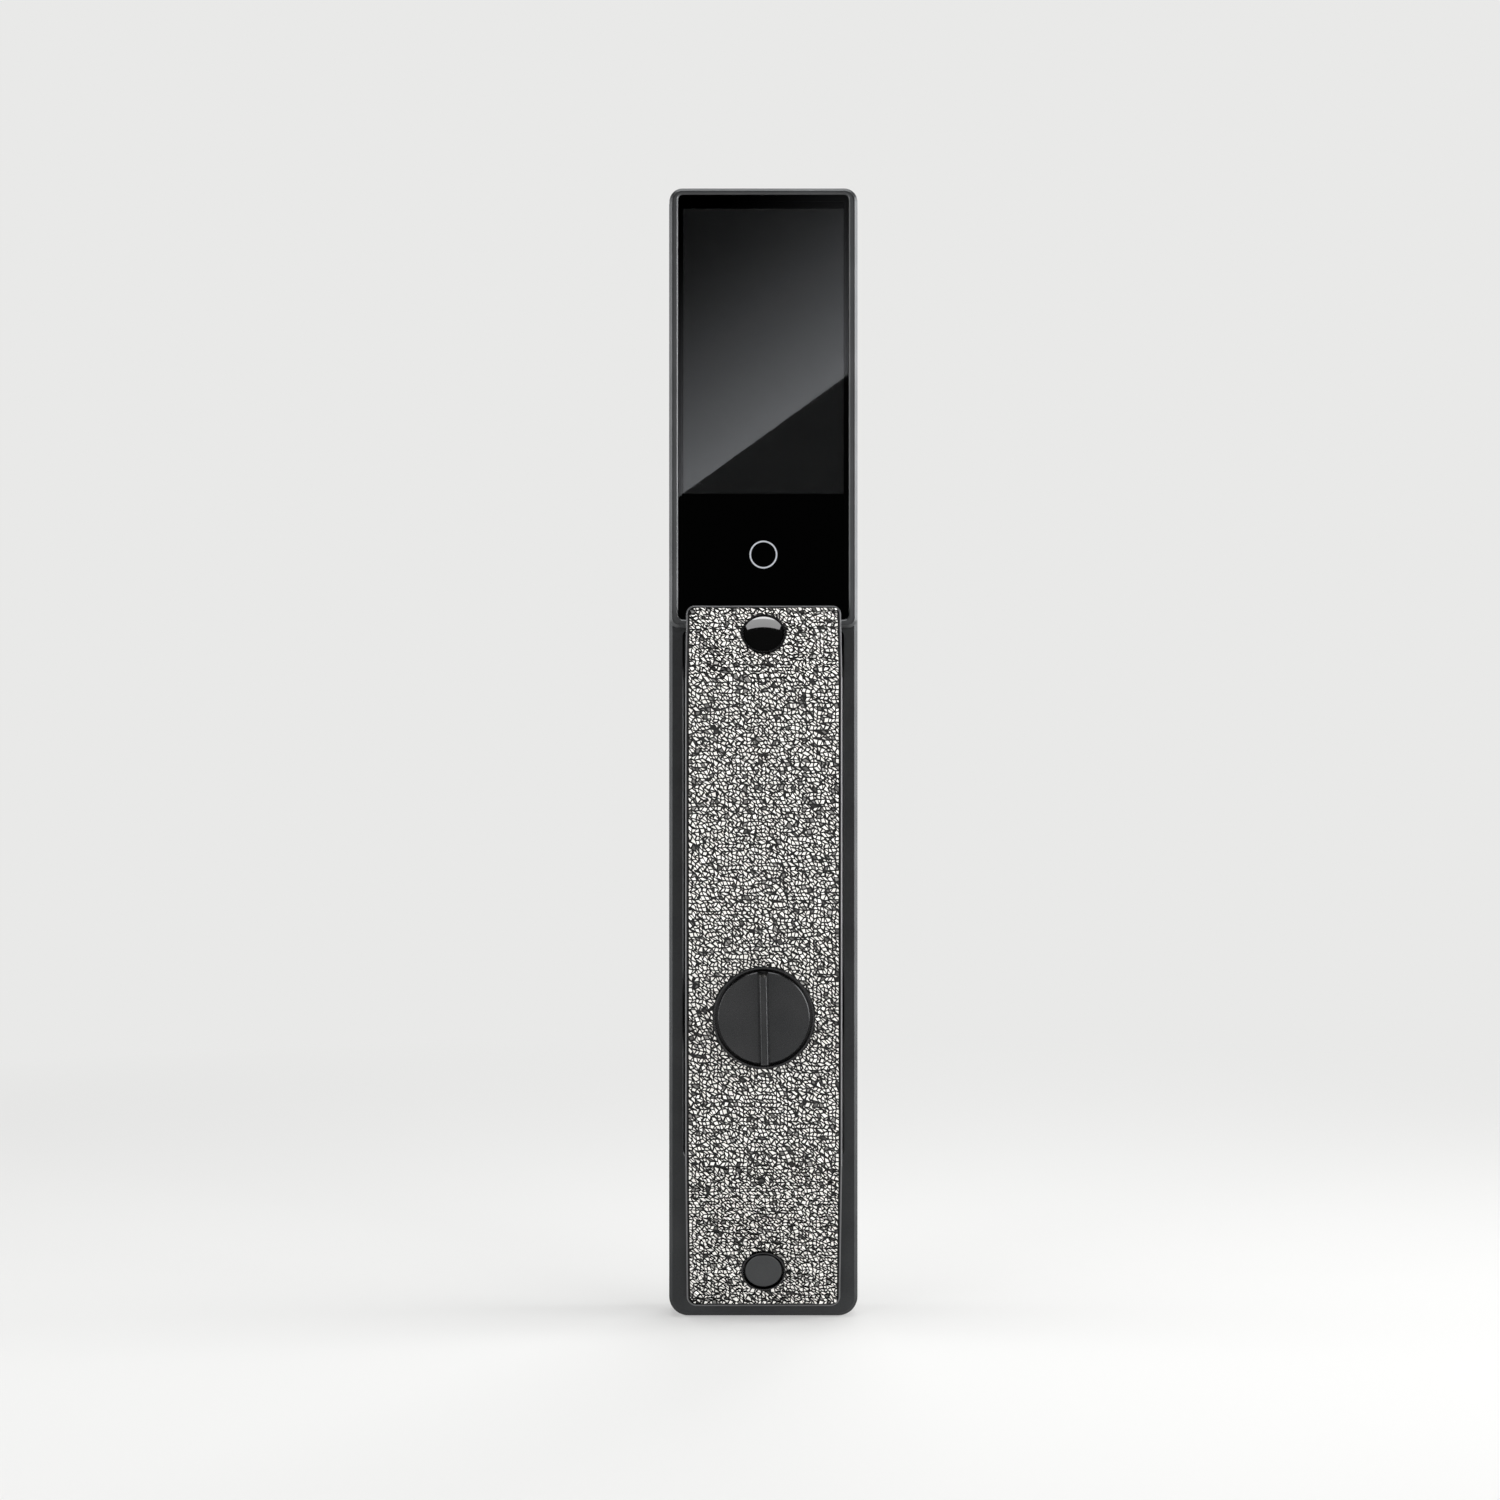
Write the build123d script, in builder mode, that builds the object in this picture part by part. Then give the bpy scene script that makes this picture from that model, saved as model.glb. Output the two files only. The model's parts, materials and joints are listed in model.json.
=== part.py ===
from build123d import *

import os
from math import asin, cos, radians, sin, tan

# Indoor panel of a motorised door lock: a slim base with a screen module at its top and a bridge-shaped
# grip below it. The grip carries a crystal inlay, an open button, a thumb-turn and a lock button.
#
# Millimetres. The door's face is the plane y = 0 and the panel stands out of it towards -Y, so a height
# above the door is -y. +Z is up, +X is to the right as the panel is seen from the room, and the origin is
# the middle of the panel's back. Names in _h are heights above the door and names in _z are places up it.

# ---- overall sizes
body_w = 73.4
body_l = 438.0
top_corner_r = 5.4
bottom_corner_r = 7.4
base_front_h = 24.0
base_chamfer = 1.3

# ---- walls and general clearances
side_wall = 1.8
front_wall = 2.2
top_wall = 3.2
bottom_wall = 3.2
fit_gap = 0.1
loose_gap = 0.3
run_gap = 0.05

# ---- door side
gasket_t = 1.2
gasket_inset = 0.8
gasket_relief = 1.5
plate_t = 2.0
plate_corner_r = 3.0
plate_gap = 0.5
bolt_r = 2.75
bolt_spacing_x = 40.0
bolt_spacing_z = 260.0
cable_z = 84.0
cable_r = 11.0
spindle_hole_gap = 2.0
tab_t = 2.0
tab_w = 5.0
tab_rise_h = 12.0
tab_hole_h = 8.0
top_tab_margin = 10.7
bottom_tab_margin = 7.8
peg_r = 2.0
peg_reach = 0.8

# ---- trough behind the grip
trough_side_margin = 5.6
trough_top_z = 48.2
trough_foot_drop = 1.3
trough_d = 8.0
trough_wall = 2.0
trough_corner_r = 3.0
trough_edge = 0.4

# ---- screen module
frame_inset = 0.3
frame_rim_gap = 0.5
frame_t = 6.6
frame_shadow_t = 0.3
frame_shadow_w = 0.8
frame_corner_r = 3.7
frame_chamfer = 1.1
frame_groove_w = 0.35
frame_groove_d = 0.4
frame_groove_inset = 1.2
glass_side_margin = 3.7
glass_bottom_margin = 3.1
glass_top_margin = 2.9
glass_sunk = 0.6
glass_t = 1.6
glass_corner_r = 2.0
glass_edge = 0.2
pocket_bevel = 0.45
frame_window_inset_x = 1.4
frame_window_inset_z = 2.2
frame_window_r = 1.0
active_w = 62.1
active_l = 110.4
active_top_margin = 8.0
film_t = 0.2
panel_border = 0.35
panel_border_low = 3.5
display_t = 2.0
display_board_t = 1.2
display_board_w = 56.0
display_board_l = 96.0
key_rise = 25.2
key_r = 5.4
key_line = 0.6
key_pad_rim = 1.6
key_pad_t = 1.0

# ---- inside the base, behind the screen
window_side_margin = 4.0
window_low_margin = 9.8
window_top_margin = 10.0
window_corner_r = 3.0
carrier_t = 1.8
carrier_low_margin = 7.3
carrier_top_margin = 7.0
carrier_corner_r = 2.0
carrier_window_w = 44.0
carrier_window_l = 96.0
carrier_leg_r = 3.0
key_window_w = 26.0
key_window_l = 20.0
board_h = 10.0
board_t = 1.6
board_w = 58.0
board_low_margin = 13.8
board_top_margin = 27.0
board_corner_r = 2.0
board_screw_x = 25.0
board_screw_inset = 6.0
frame_screw_margin = 2.1
frame_screw_low_margin = 12.8
frame_screw_top_margin = 14.0
frame_screw_bite = 3.2
frame_hole_spare = 0.2
can_w = 32.0
can_l = 42.0
can_t = 3.0
can_z = 142.0
can_corner_r = 1.0
can_edge = 0.3
socket_w = 18.0
socket_l = 9.0
socket_back_h = 3.8
socket_wall = 1.2
socket_depth = 5.2
speaker_w = 28.0
speaker_l = 13.0
speaker_t = 9.0
speaker_h = 6.0
speaker_corner_r = 1.5
sound_hole_r = 0.8
sound_hole_pitch = 4.0
sound_hole_count = 6
sound_hole_h = 10.5

# ---- battery bay at the base's foot
battery_w = 40.0
battery_l = 50.0
battery_t = 15.6
battery_h = 4.0
battery_r = 3.0
battery_edge = 0.6
bay_gap = 0.6
door_overlap = 6.5
door_t = 1.6
door_margin = 1.4
door_rib = 4.0
door_screw_margin = 3.0
door_screw_r = 1.25
door_head_r = 2.2
door_head_t = 0.9
door_boss_r = 2.75
door_boss_l = 4.0
contact_w = 24.0
contact_l = 9.0
contact_rise = 1.0
contact_reach = 1.2
contact_pin_r = 1.0
contact_pin_x = 6.0

# ---- grip: a bar bent at two creases, its ends sloping down to the base
grip_w = 59.4
grip_top_z = 56.8
grip_bottom_margin = 4.8
grip_rise = 28.0
grip_t = 11.0
crease_top_z = 28.9
lower_slope_l = 58.0
top_tilt = radians(28)
bottom_tilt = radians(22)
steepest_slope = radians(45)
grip_top_r = 3.1
grip_bottom_r = 3.9
grip_wall = 2.4
grip_back_r = 1.5
overhang_gap = 0.8
bezel_t = 0.6
bezel_d = 2.4
bezel_edge = 0.25
inlay_top = 1.0
cover_t = 2.0
head_z = 22.0
head_floor_t = 2.2
head_end_z = 47.0
throat_rise = 14.7
throat_round = 5.0
throat_web = 3.0
wedge_roof_drop = 2.0
boss_sink = 1.0
cut_spare = 1.0
bore_spare = 5.0

# ---- post under the grip's head
post_w = 40.0
post_low_z = 31.0
post_high_z = 47.2
post_hollow_w = 28.0
post_wall = 2.5
post_corner_r = 2.0
post_screw_x = 17.0
wire_way_w = 16.0
wire_way_l = 8.0
wedge_screw_margin = 4.7
wedge_screw_low_rise = 11.2
wedge_screw_high_drop = 10.5
wedge_boss_r = 3.4
wedge_boss_l = 10.0
cover_screw_margin = 8.7
cover_screw_head_drop = 10.0
cover_screw_knob_rise = 40.1
cover_screw_throat_rise = 11.5
cover_boss_r = 3.0
shoulder_rise = 6.6

# ---- push buttons (depths are measured inwards from the grip's outer face)
open_z = 45.8
open_button_r = 7.6
open_button_gap = 0.35
open_dome = 1.1
lock_rise = 14.7
lock_button_r = 7.2
lock_button_gap = 0.85
lock_window_rise = 5.0
lock_window_w = 26.0
lock_window_l = 22.0
ring_wall = 0.45
ring_proud = 0.3
cap_t = 2.2
cap_edge = 0.5
cup_floor_d = 5.0
cup_floor_t = 1.2
button_travel = 1.0
stem_r = 2.2
stem_end_d = 7.9
clip_r = 3.4
clip_groove_r = 1.8
clip_t = 0.5
spring_r = 3.3
spring_wire_r = 0.25
spring_turns = 3
switch_w = 6.0
switch_t = 3.0
plunger_r = 1.6
plunger_t = 0.6
button_board_t = 1.0
button_board_w = 23.0
button_board_l = 8.5
leg_x = 10.2
leg_w = 2.4
leg_l = 4.0
leg_shift = 1.5
arm_w = 3.2

# ---- thumb-turn
knob_rise = 56.1
knob_r = 17.5
knob_proud = 0.6
knob_edge = 0.4
blade_rise = 11.9
blade_base_w = 4.3
blade_end_gap = 0.1
blade_draft = 4.3
blade_lean = 1.2
blade_inset_w = 1.4
blade_inset_margin = 2.0
blade_inset_d = 0.4
blade_edge = 0.25
knob_ring_gap = 1.1
knob_ring_wall = 0.6
knob_ring_proud = 0.4
knob_ring_floor = 1.4
knob_lift = 0.4
knob_boss_r = 5.0
shaft_r = 8.0
shaft_back_h = 1.6
shaft_gap = 0.4
socket_across = 8.2
spindle_depth = 29.4
shaft_web = 3.6
knob_screw_r = 2.0
knob_screw_head_r = 3.5
knob_screw_head_t = 2.8
knob_screw_bite = 8.0
bushing_wall = 1.1
bushing_l = 8.0
column_wall = 3.9
column_flange_w = 5.5
column_flange_t = 5.0
column_foot_r = 2.0
column_screw_inset = 3.0
column_screw_count = 3
ring_groove_d = 0.8
o_ring_t = 1.8
o_ring_lift = 4.0
washer_w = 3.0
washer_t = 0.9
circlip_w = 2.0
circlip_t = 1.0
circlip_mouth = 5.0
cam_w = 6.0
cam_t = 3.5
cam_h = 6.0
magnet_r = 2.0
magnet_t = 1.5
sensor_board_margin = 3.0
sensor_board_t = 1.0
sensor_board_h = 10.2
sensor_board_gap = 1.2
sensor_post_out = 0.5
sensor_post_in = 2.5
sensor_post_r = 2.4

# ---- fasteners
m3_r = 1.5
m3_head_r = 2.75
m3_head_t = 2.2
m3_low_head_t = 1.6
m3_reach = 6.2
m2_r = 1.0
m2_head_r = 1.7
m2_head_t = 1.2
m2_reach = 5.0
drive_width_share = 0.5
drive_depth_share = 0.6

# ---- places worked out from the sizes above
body_top_z = body_l / 2
body_bottom_z = -body_l / 2
inner_half_w = body_w / 2 - side_wall
inner_top_z = body_top_z - top_wall
inner_bottom_z = body_bottom_z + bottom_wall
inner_front_h = base_front_h - front_wall
top_tab_x = body_w / 2 - top_tab_margin
bottom_tab_x = body_w / 2 - bottom_tab_margin
plate_back_h = gasket_t
plate_front_h = gasket_t + plate_t
grip_bottom_z = body_bottom_z + grip_bottom_margin
crease_bottom_z = grip_bottom_z + lower_slope_l
throat_z = crease_bottom_z + throat_rise
knob_z = crease_bottom_z + knob_rise
lock_z = grip_bottom_z + lock_rise
trough_half_w = body_w / 2 - trough_side_margin
trough_bottom_z = crease_bottom_z - trough_foot_drop
trough_floor_h = base_front_h - trough_d
trough_inner_h = trough_floor_h - trough_wall
frame_bottom_z = trough_top_z + frame_rim_gap
frame_back_h = base_front_h
frame_front_h = frame_back_h + frame_t
glass_half_w = body_w / 2 - glass_side_margin
glass_bottom_z = frame_bottom_z + glass_bottom_margin
glass_top_z = body_top_z - glass_top_margin
glass_front_h = frame_front_h - glass_sunk
glass_back_h = glass_front_h - glass_t
frame_window_half_w = glass_half_w - frame_window_inset_x
frame_window_low_z = glass_bottom_z + frame_window_inset_z
frame_window_high_z = glass_top_z - frame_window_inset_z
active_high_z = body_top_z - active_top_margin
active_low_z = active_high_z - active_l
active_z = (active_low_z + active_high_z) / 2
key_z = glass_bottom_z + key_rise
window_half_w = inner_half_w - window_side_margin
window_low_z = trough_top_z + window_low_margin
window_high_z = body_top_z - window_top_margin
carrier_low_z = trough_top_z + carrier_low_margin
carrier_high_z = body_top_z - carrier_top_margin
board_low_z = trough_top_z + board_low_margin
board_high_z = body_top_z - board_top_margin
frame_screw_x = inner_half_w - frame_screw_margin
frame_screw_low_z = trough_top_z + frame_screw_low_margin
frame_screw_high_z = body_top_z - frame_screw_top_margin
film_back_h = glass_back_h - film_t
display_back_h = film_back_h - display_t
carrier_back_h = inner_front_h - carrier_t
grip_half_w = grip_w / 2
grip_front_h = base_front_h + grip_rise
grip_back_h = grip_front_h - grip_t
cavity_d = bezel_d + grip_wall
cavity_half_w = grip_half_w - grip_wall
head_back_h = frame_front_h + overhang_gap
cover_front_h = grip_back_h + cover_t
bar_hollow_low_z = throat_z + grip_wall + throat_web
bar_hollow_high_z = head_z - grip_wall
wedge_hollow_high_z = throat_z - grip_wall - throat_web
battery_bottom_z = inner_bottom_z + fit_gap
battery_top_z = battery_bottom_z + battery_l
battery_mid_h = battery_h + battery_t / 2
door_w = battery_w + 2 * door_overlap
door_screw_x = door_w / 2 - door_screw_margin
open_ring_r = open_button_r + open_button_gap + ring_wall
lock_ring_r = lock_button_r + lock_button_gap + ring_wall
knob_front_h = grip_front_h + knob_proud
knob_back_h = cover_front_h + knob_ring_floor + knob_lift
knob_ring_r = knob_r + knob_ring_gap + knob_ring_wall
blade_front_h = knob_front_h + blade_rise
blade_base_l = 2 * (knob_r - blade_end_gap)
blade_inset_l = blade_base_l - 2 * blade_inset_margin
spindle_hole_r = shaft_r + spindle_hole_gap
bushing_r = shaft_r + bushing_wall
column_r = bushing_r + column_wall
column_flange_r = column_r + column_flange_w
column_screw_r = column_flange_r - column_screw_inset
ring_groove_r = shaft_r - ring_groove_d
o_ring_h = trough_floor_h + bushing_l + o_ring_lift
washer_r = shaft_r + washer_w
circlip_r = shaft_r + circlip_w
cam_r = shaft_r + cam_w
magnet_orbit = (shaft_r + cam_r) / 2
sensor_post_x = column_screw_r + sensor_post_out
sensor_post_z = column_screw_r - sensor_post_in
sensor_board_w = 2 * (sensor_post_x + sensor_board_margin)
sensor_board_l = 2 * (sensor_post_z + sensor_board_margin)
sensor_board_hole_r = washer_r + sensor_board_gap
bolt_points = [(sx * bolt_spacing_x / 2, sz * bolt_spacing_z / 2) for sx in (-1, 1) for sz in (-1, 1)]
wedge_screw_points = [
    (sx * (grip_half_w - wedge_screw_margin), z)
    for sx in (-1, 1)
    for z in (grip_bottom_z + wedge_screw_low_rise, trough_bottom_z - wedge_screw_high_drop)
]
cover_screw_points = [
    (sx * (grip_half_w - cover_screw_margin), z)
    for sx in (-1, 1)
    for z in (
        head_z - cover_screw_head_drop,
        knob_z + cover_screw_knob_rise,
        throat_z + cover_screw_throat_rise,
    )
]
post_mid_z = (post_low_z + post_high_z) / 2
post_screw_points = [(sx * post_screw_x, post_mid_z) for sx in (-1, 1)]
frame_screw_points = [
    (sx * frame_screw_x, z)
    for sx in (-1, 1)
    for z in (frame_screw_low_z, (frame_screw_low_z + frame_screw_high_z) / 2, frame_screw_high_z)
]
board_screw_points = [
    (sx * board_screw_x, z)
    for sx in (-1, 1)
    for z in (board_low_z + board_screw_inset, board_high_z - board_screw_inset)
]
sensor_screw_points = [(sx * sensor_post_x, knob_z + sz * sensor_post_z) for sx in (-1, 1) for sz in (-1, 1)]
column_screw_turns = [radians(90 + i * 360 / column_screw_count) for i in range(column_screw_count)]
column_screw_points = [
    (column_screw_r * cos(turn), knob_z + column_screw_r * sin(turn)) for turn in column_screw_turns
]


# ---- drawing helpers
def door_plane(height):
    """Plane parallel to the door, at a height above it and looking into the room."""
    return Plane.XZ.offset(height)


def outline(width, z_low, z_high, r_low=0.0, r_high=0.0):
    """A plate's outline on the door plane, with one corner radius at each end."""
    with BuildSketch() as sheet:
        with Locations((0, (z_low + z_high) / 2)):
            Rectangle(width, z_high - z_low)
        if r_low:
            fillet(sheet.vertices().group_by(Axis.Y)[0], r_low)
        if r_high:
            fillet(sheet.vertices().group_by(Axis.Y)[-1], r_high)
    return sheet.sketch_local


def spots(points, radius):
    """Round spots at the (x, z) points of the door plane."""
    with BuildSketch() as sheet:
        with Locations(*points):
            Circle(radius)
    return sheet.sketch_local


def blocks(points, width, length):
    """Rectangles centred on the (x, z) points of the door plane."""
    with BuildSketch() as sheet:
        with Locations(*points):
            Rectangle(width, length)
    return sheet.sketch_local


def raise_from(profile, low, high, mode=Mode.ADD):
    """Extrudes a door-plane profile between two heights above the door."""
    with BuildSketch(door_plane(low)) as sheet:
        add(profile)
    extrude(sheet.sketch, amount=high - low, mode=mode)


def cut(profile, low, high):
    """Cuts a door-plane profile away between two heights above the door."""
    raise_from(profile, low, high, Mode.SUBTRACT)


def side_prism(points, half_w, mode=Mode.ADD):
    """Extrudes a closed side view, given as (height, z) points, to both sides of the middle."""
    with BuildSketch(Plane.YZ) as sheet:
        with BuildLine():
            Polyline(*[(-h, z) for h, z in points], close=True)
        make_face()
    extrude(sheet.sketch, amount=half_w, both=True, mode=mode)


def pan_screws(plane, points, head_r, head_t, shank_r, reach):
    """Pan-head screws: each shank runs from the plane along its normal, and its head lies behind it."""
    with BuildSketch(plane) as shanks:
        with Locations(*points):
            Circle(shank_r)
    extrude(shanks.sketch, amount=reach)
    with BuildSketch(plane) as heads:
        with Locations(*points):
            Circle(head_r)
    extrude(heads.sketch, amount=-head_t)
    with BuildSketch(plane.offset(-head_t)) as recesses:
        with Locations(*points):
            RegularPolygon(head_r * drive_width_share, 6)
    extrude(recesses.sketch, amount=head_t * drive_depth_share, mode=Mode.SUBTRACT)


def face_h(z, depth):
    """Height of the surface that lies depth under the grip's outer face."""
    flat = grip_front_h - depth
    upper = grip_front_h - (z - crease_top_z) * tan(top_tilt) - depth / cos(top_tilt)
    lower = grip_front_h - (crease_bottom_z - z) * tan(bottom_tilt) - depth / cos(bottom_tilt)
    return min(flat, upper, lower)


def bent_line(depth, z_high, z_low):
    """The grip's outer face in side view, moved in by depth, from z_high down to z_low."""
    creases = [
        (grip_front_h - depth, crease_top_z - depth * tan(top_tilt / 2)),
        (grip_front_h - depth, crease_bottom_z + depth * tan(bottom_tilt / 2)),
    ]
    inside = [(h, z) for h, z in creases if z_low < z < z_high]
    return [(face_h(z_high, depth), z_high), *inside, (face_h(z_low, depth), z_low)]


def bent_sheet(outer_d, inner_d, z_high, z_low, half_w):
    """A sheet that follows the grip's outer face, between two depths under it."""
    side_prism(bent_line(outer_d, z_high, z_low) + bent_line(inner_d, z_high, z_low)[::-1], half_w)


def tilted_plane(z, tilt):
    """Plane on the grip's outer face at z, looking out of it; tilt is positive where the face looks up."""
    return Plane(origin=(0, -face_h(z, 0), z), x_dir=(1, 0, 0), z_dir=(0, -cos(tilt), sin(tilt)))


open_plane = tilted_plane(open_z, top_tilt)
lock_plane = tilted_plane(lock_z, -bottom_tilt)
grip_outline = outline(grip_w, grip_bottom_z, grip_top_z, grip_bottom_r, grip_top_r)
window_outline = outline(
    grip_w - 2 * bezel_t,
    grip_bottom_z + bezel_t,
    grip_top_z - bezel_t,
    grip_bottom_r - bezel_t,
    grip_top_r - bezel_t,
)
inlay_outline = outline(
    grip_w - 2 * bezel_t - 2 * fit_gap,
    grip_bottom_z + bezel_t + fit_gap,
    grip_top_z - bezel_t - fit_gap,
    grip_bottom_r - bezel_t,
    grip_top_r - bezel_t,
)


def bore_plane(plane, radius, depth):
    """Cuts a round hole square to a tilted plane, from clear above it to depth under it."""
    with BuildSketch(plane.offset(-depth)) as hole:
        Circle(radius)
    extrude(hole.sketch, amount=depth + bore_spare, mode=Mode.SUBTRACT)


def looks_out(face):
    """True for a face on the room side of a piece, level or sloping."""
    return face.normal_at().Y < -cos(steepest_slope)


def off_the_creases(edge):
    """True for an edge that isn't one of the two creases of the grip's face."""
    edge_z = edge.center().Z
    return min(abs(edge_z - crease_top_z), abs(edge_z - crease_bottom_z)) > fit_gap


def on_grip_underside(edge):
    """True for the long outer edges at the back of the grip, from its foot to under its head."""
    spot = edge.center()
    at_side = abs(abs(spot.X) - grip_half_w) < fit_gap
    return at_side and spot.Y > -grip_back_h - fit_gap and trough_bottom_z < spot.Z < head_z + throat_round


def keep_within(profile):
    """Keeps only what lies inside a door-plane outline."""
    with BuildSketch(Plane.XZ) as sheet:
        add(profile)
    extrude(sheet.sketch, amount=2 * grip_front_h, mode=Mode.INTERSECT)


# ==== door side =====================================================================================

with BuildPart() as door_gasket:
    raise_from(
        outline(
            body_w - 2 * gasket_inset,
            body_bottom_z + gasket_inset,
            body_top_z - gasket_inset,
            bottom_corner_r - gasket_inset,
            top_corner_r - gasket_inset,
        ),
        0,
        gasket_t,
    )
    cut(spots(bolt_points, bolt_r + gasket_relief), 0, gasket_t)
    cut(spots([(0, knob_z)], spindle_hole_r + gasket_relief), 0, gasket_t)
    cut(spots([(0, cable_z)], cable_r + gasket_relief), 0, gasket_t)

plate_top_z = inner_top_z - plate_gap
plate_bottom_z = inner_bottom_z + plate_gap
with BuildPart() as mounting_plate:
    raise_from(
        outline(
            2 * (inner_half_w - plate_gap),
            plate_bottom_z,
            plate_top_z,
            bottom_corner_r - side_wall,
            plate_corner_r,
        ),
        plate_back_h,
        plate_front_h,
    )
    cut(spots(bolt_points, bolt_r), plate_back_h, plate_front_h)
    cut(spots([(0, knob_z)], spindle_hole_r), plate_back_h, plate_front_h)
    cut(spots([(0, cable_z)], cable_r), plate_back_h, plate_front_h)
    # Tabs bent up at both ends: the housing's pegs hook into the lower two, screws enter the upper two.
    lower_tabs = [(sx * bottom_tab_x, plate_bottom_z + tab_t / 2) for sx in (-1, 1)]
    upper_tabs = [(sx * top_tab_x, plate_top_z - tab_t / 2) for sx in (-1, 1)]
    raise_from(blocks(lower_tabs + upper_tabs, tab_w, tab_t), plate_front_h, tab_rise_h)
    for plane_z, tab_x, hole_r in (
        (plate_bottom_z, bottom_tab_x, peg_r + loose_gap),
        (plate_top_z - tab_t, top_tab_x, m3_r),
    ):
        with BuildSketch(Plane.XY.offset(plane_z)):
            with Locations((-tab_x, -tab_hole_h), (tab_x, -tab_hole_h)):
                Circle(hole_r)
        extrude(amount=tab_t, mode=Mode.SUBTRACT)

# ==== base ==========================================================================================

body_outline = outline(body_w, body_bottom_z, body_top_z, bottom_corner_r, top_corner_r)
bay_half_w = battery_w / 2 + bay_gap
bay_low_h = plate_front_h + fit_gap
bay_high_h = battery_h + battery_t + bay_gap
door_low_h = bay_low_h
door_high_h = bay_high_h + door_margin
with BuildPart() as base_housing:
    raise_from(body_outline, gasket_t, base_front_h)
    chamfer(base_housing.faces().sort_by(Axis.Y)[0].edges(), base_chamfer)
    # Trough behind the grip, with a small bevel round its rim.
    cut(
        outline(2 * trough_half_w, trough_bottom_z, trough_top_z, trough_corner_r, trough_corner_r),
        trough_floor_h,
        base_front_h,
    )
    trough_rim = base_housing.faces().filter_by(Axis.Y).sort_by(Axis.Y)[0].inner_wires()[0]
    chamfer(trough_rim.edges(), trough_edge)
    # Room inside: shallow under the trough, deep behind the screen and in the battery bay.
    inner_w = 2 * inner_half_w
    inner_r_low = bottom_corner_r - side_wall
    inner_r_high = top_corner_r - side_wall
    cut(
        outline(inner_w, inner_bottom_z, inner_top_z, inner_r_low, inner_r_high),
        gasket_t,
        trough_inner_h,
    )
    cut(
        outline(inner_w, trough_top_z + trough_wall, inner_top_z, 0, inner_r_high),
        trough_inner_h,
        inner_front_h,
    )
    cut(
        outline(inner_w, inner_bottom_z, trough_bottom_z - trough_wall, inner_r_low, 0),
        trough_inner_h,
        inner_front_h,
    )
    # Windows in the front wall, behind the screen and under the lock button.
    cut(
        outline(2 * window_half_w, window_low_z, window_high_z, window_corner_r, window_corner_r),
        inner_front_h,
        base_front_h,
    )
    cut(blocks([(0, lock_z + lock_window_rise)], lock_window_w, lock_window_l), inner_front_h, base_front_h)
    # Wire way from the head of the grip, and the hole that the knob's shaft turns in.
    cut(blocks([(0, post_mid_z)], wire_way_w, wire_way_l), trough_inner_h, trough_floor_h)
    cut(spots([(0, knob_z)], shaft_r + shaft_gap), trough_inner_h, trough_floor_h)
    cut(spots(post_screw_points + column_screw_points, m3_r + fit_gap), trough_inner_h, trough_floor_h)
    cut(spots(wedge_screw_points, m3_r + fit_gap), inner_front_h, base_front_h)
    cut(spots(frame_screw_points, m2_r + fit_gap), inner_front_h, base_front_h)
    # Posts for the turn sensor's board.
    raise_from(spots(sensor_screw_points, sensor_post_r), sensor_board_h + sensor_board_t, trough_inner_h)
    cut(spots(sensor_screw_points, m2_r), sensor_board_h + sensor_board_t, trough_inner_h)
    # Pegs at the foot, hooked into the mounting plate.
    with BuildSketch(Plane.XY.offset(inner_bottom_z)):
        with Locations((-bottom_tab_x, -tab_hole_h), (bottom_tab_x, -tab_hole_h)):
            Circle(peg_r)
    extrude(amount=plate_gap + tab_t + peg_reach)
    # Battery mouth, the recess that its door lies in and the two bosses of the door's screws.
    with BuildSketch(Plane.XY.offset(body_bottom_z)):
        with Locations((0, -(bay_low_h + bay_high_h) / 2)):
            Rectangle(2 * bay_half_w, bay_high_h - bay_low_h)
    extrude(amount=bottom_wall, mode=Mode.SUBTRACT)
    with BuildSketch(Plane.XY.offset(body_bottom_z)):
        with Locations((0, -(door_low_h + door_high_h) / 2)):
            Rectangle(door_w + 2 * fit_gap, door_high_h - door_low_h + 2 * fit_gap)
    extrude(amount=door_t, mode=Mode.SUBTRACT)
    with BuildSketch(Plane.XY.offset(inner_bottom_z)):
        with Locations((-door_screw_x, -battery_mid_h), (door_screw_x, -battery_mid_h)):
            Circle(door_boss_r)
    extrude(amount=door_boss_l)
    with BuildSketch(Plane.XY.offset(body_bottom_z + door_t)):
        with Locations((-door_screw_x, -battery_mid_h), (door_screw_x, -battery_mid_h)):
            Circle(door_screw_r)
    extrude(amount=bottom_wall - door_t + door_boss_l, mode=Mode.SUBTRACT)
    # Top end: clearance holes of the two panel screws and a row of sound holes.
    with BuildSketch(Plane.XY.offset(inner_top_z)):
        with Locations((-top_tab_x, -tab_hole_h), (top_tab_x, -tab_hole_h)):
            Circle(m3_r + fit_gap)
        with Locations((0, -sound_hole_h)):
            with GridLocations(sound_hole_pitch, 1, sound_hole_count, 1):
                Circle(sound_hole_r)
    extrude(amount=top_wall, mode=Mode.SUBTRACT)
    with BuildSketch(Plane.XY.offset(body_top_z - m3_low_head_t)):
        with Locations((-top_tab_x, -tab_hole_h), (top_tab_x, -tab_hole_h)):
            Circle(m3_head_r + fit_gap)
    extrude(amount=m3_low_head_t, mode=Mode.SUBTRACT)

with BuildPart() as panel_screws:
    pan_screws(
        Plane(origin=(0, 0, body_top_z - m3_low_head_t), x_dir=(1, 0, 0), z_dir=(0, 0, -1)),
        [(-top_tab_x, tab_hole_h), (top_tab_x, tab_hole_h)],
        m3_head_r,
        m3_low_head_t,
        m3_r,
        top_wall - m3_low_head_t + plate_gap + tab_t,
    )

# ==== battery =======================================================================================

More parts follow.
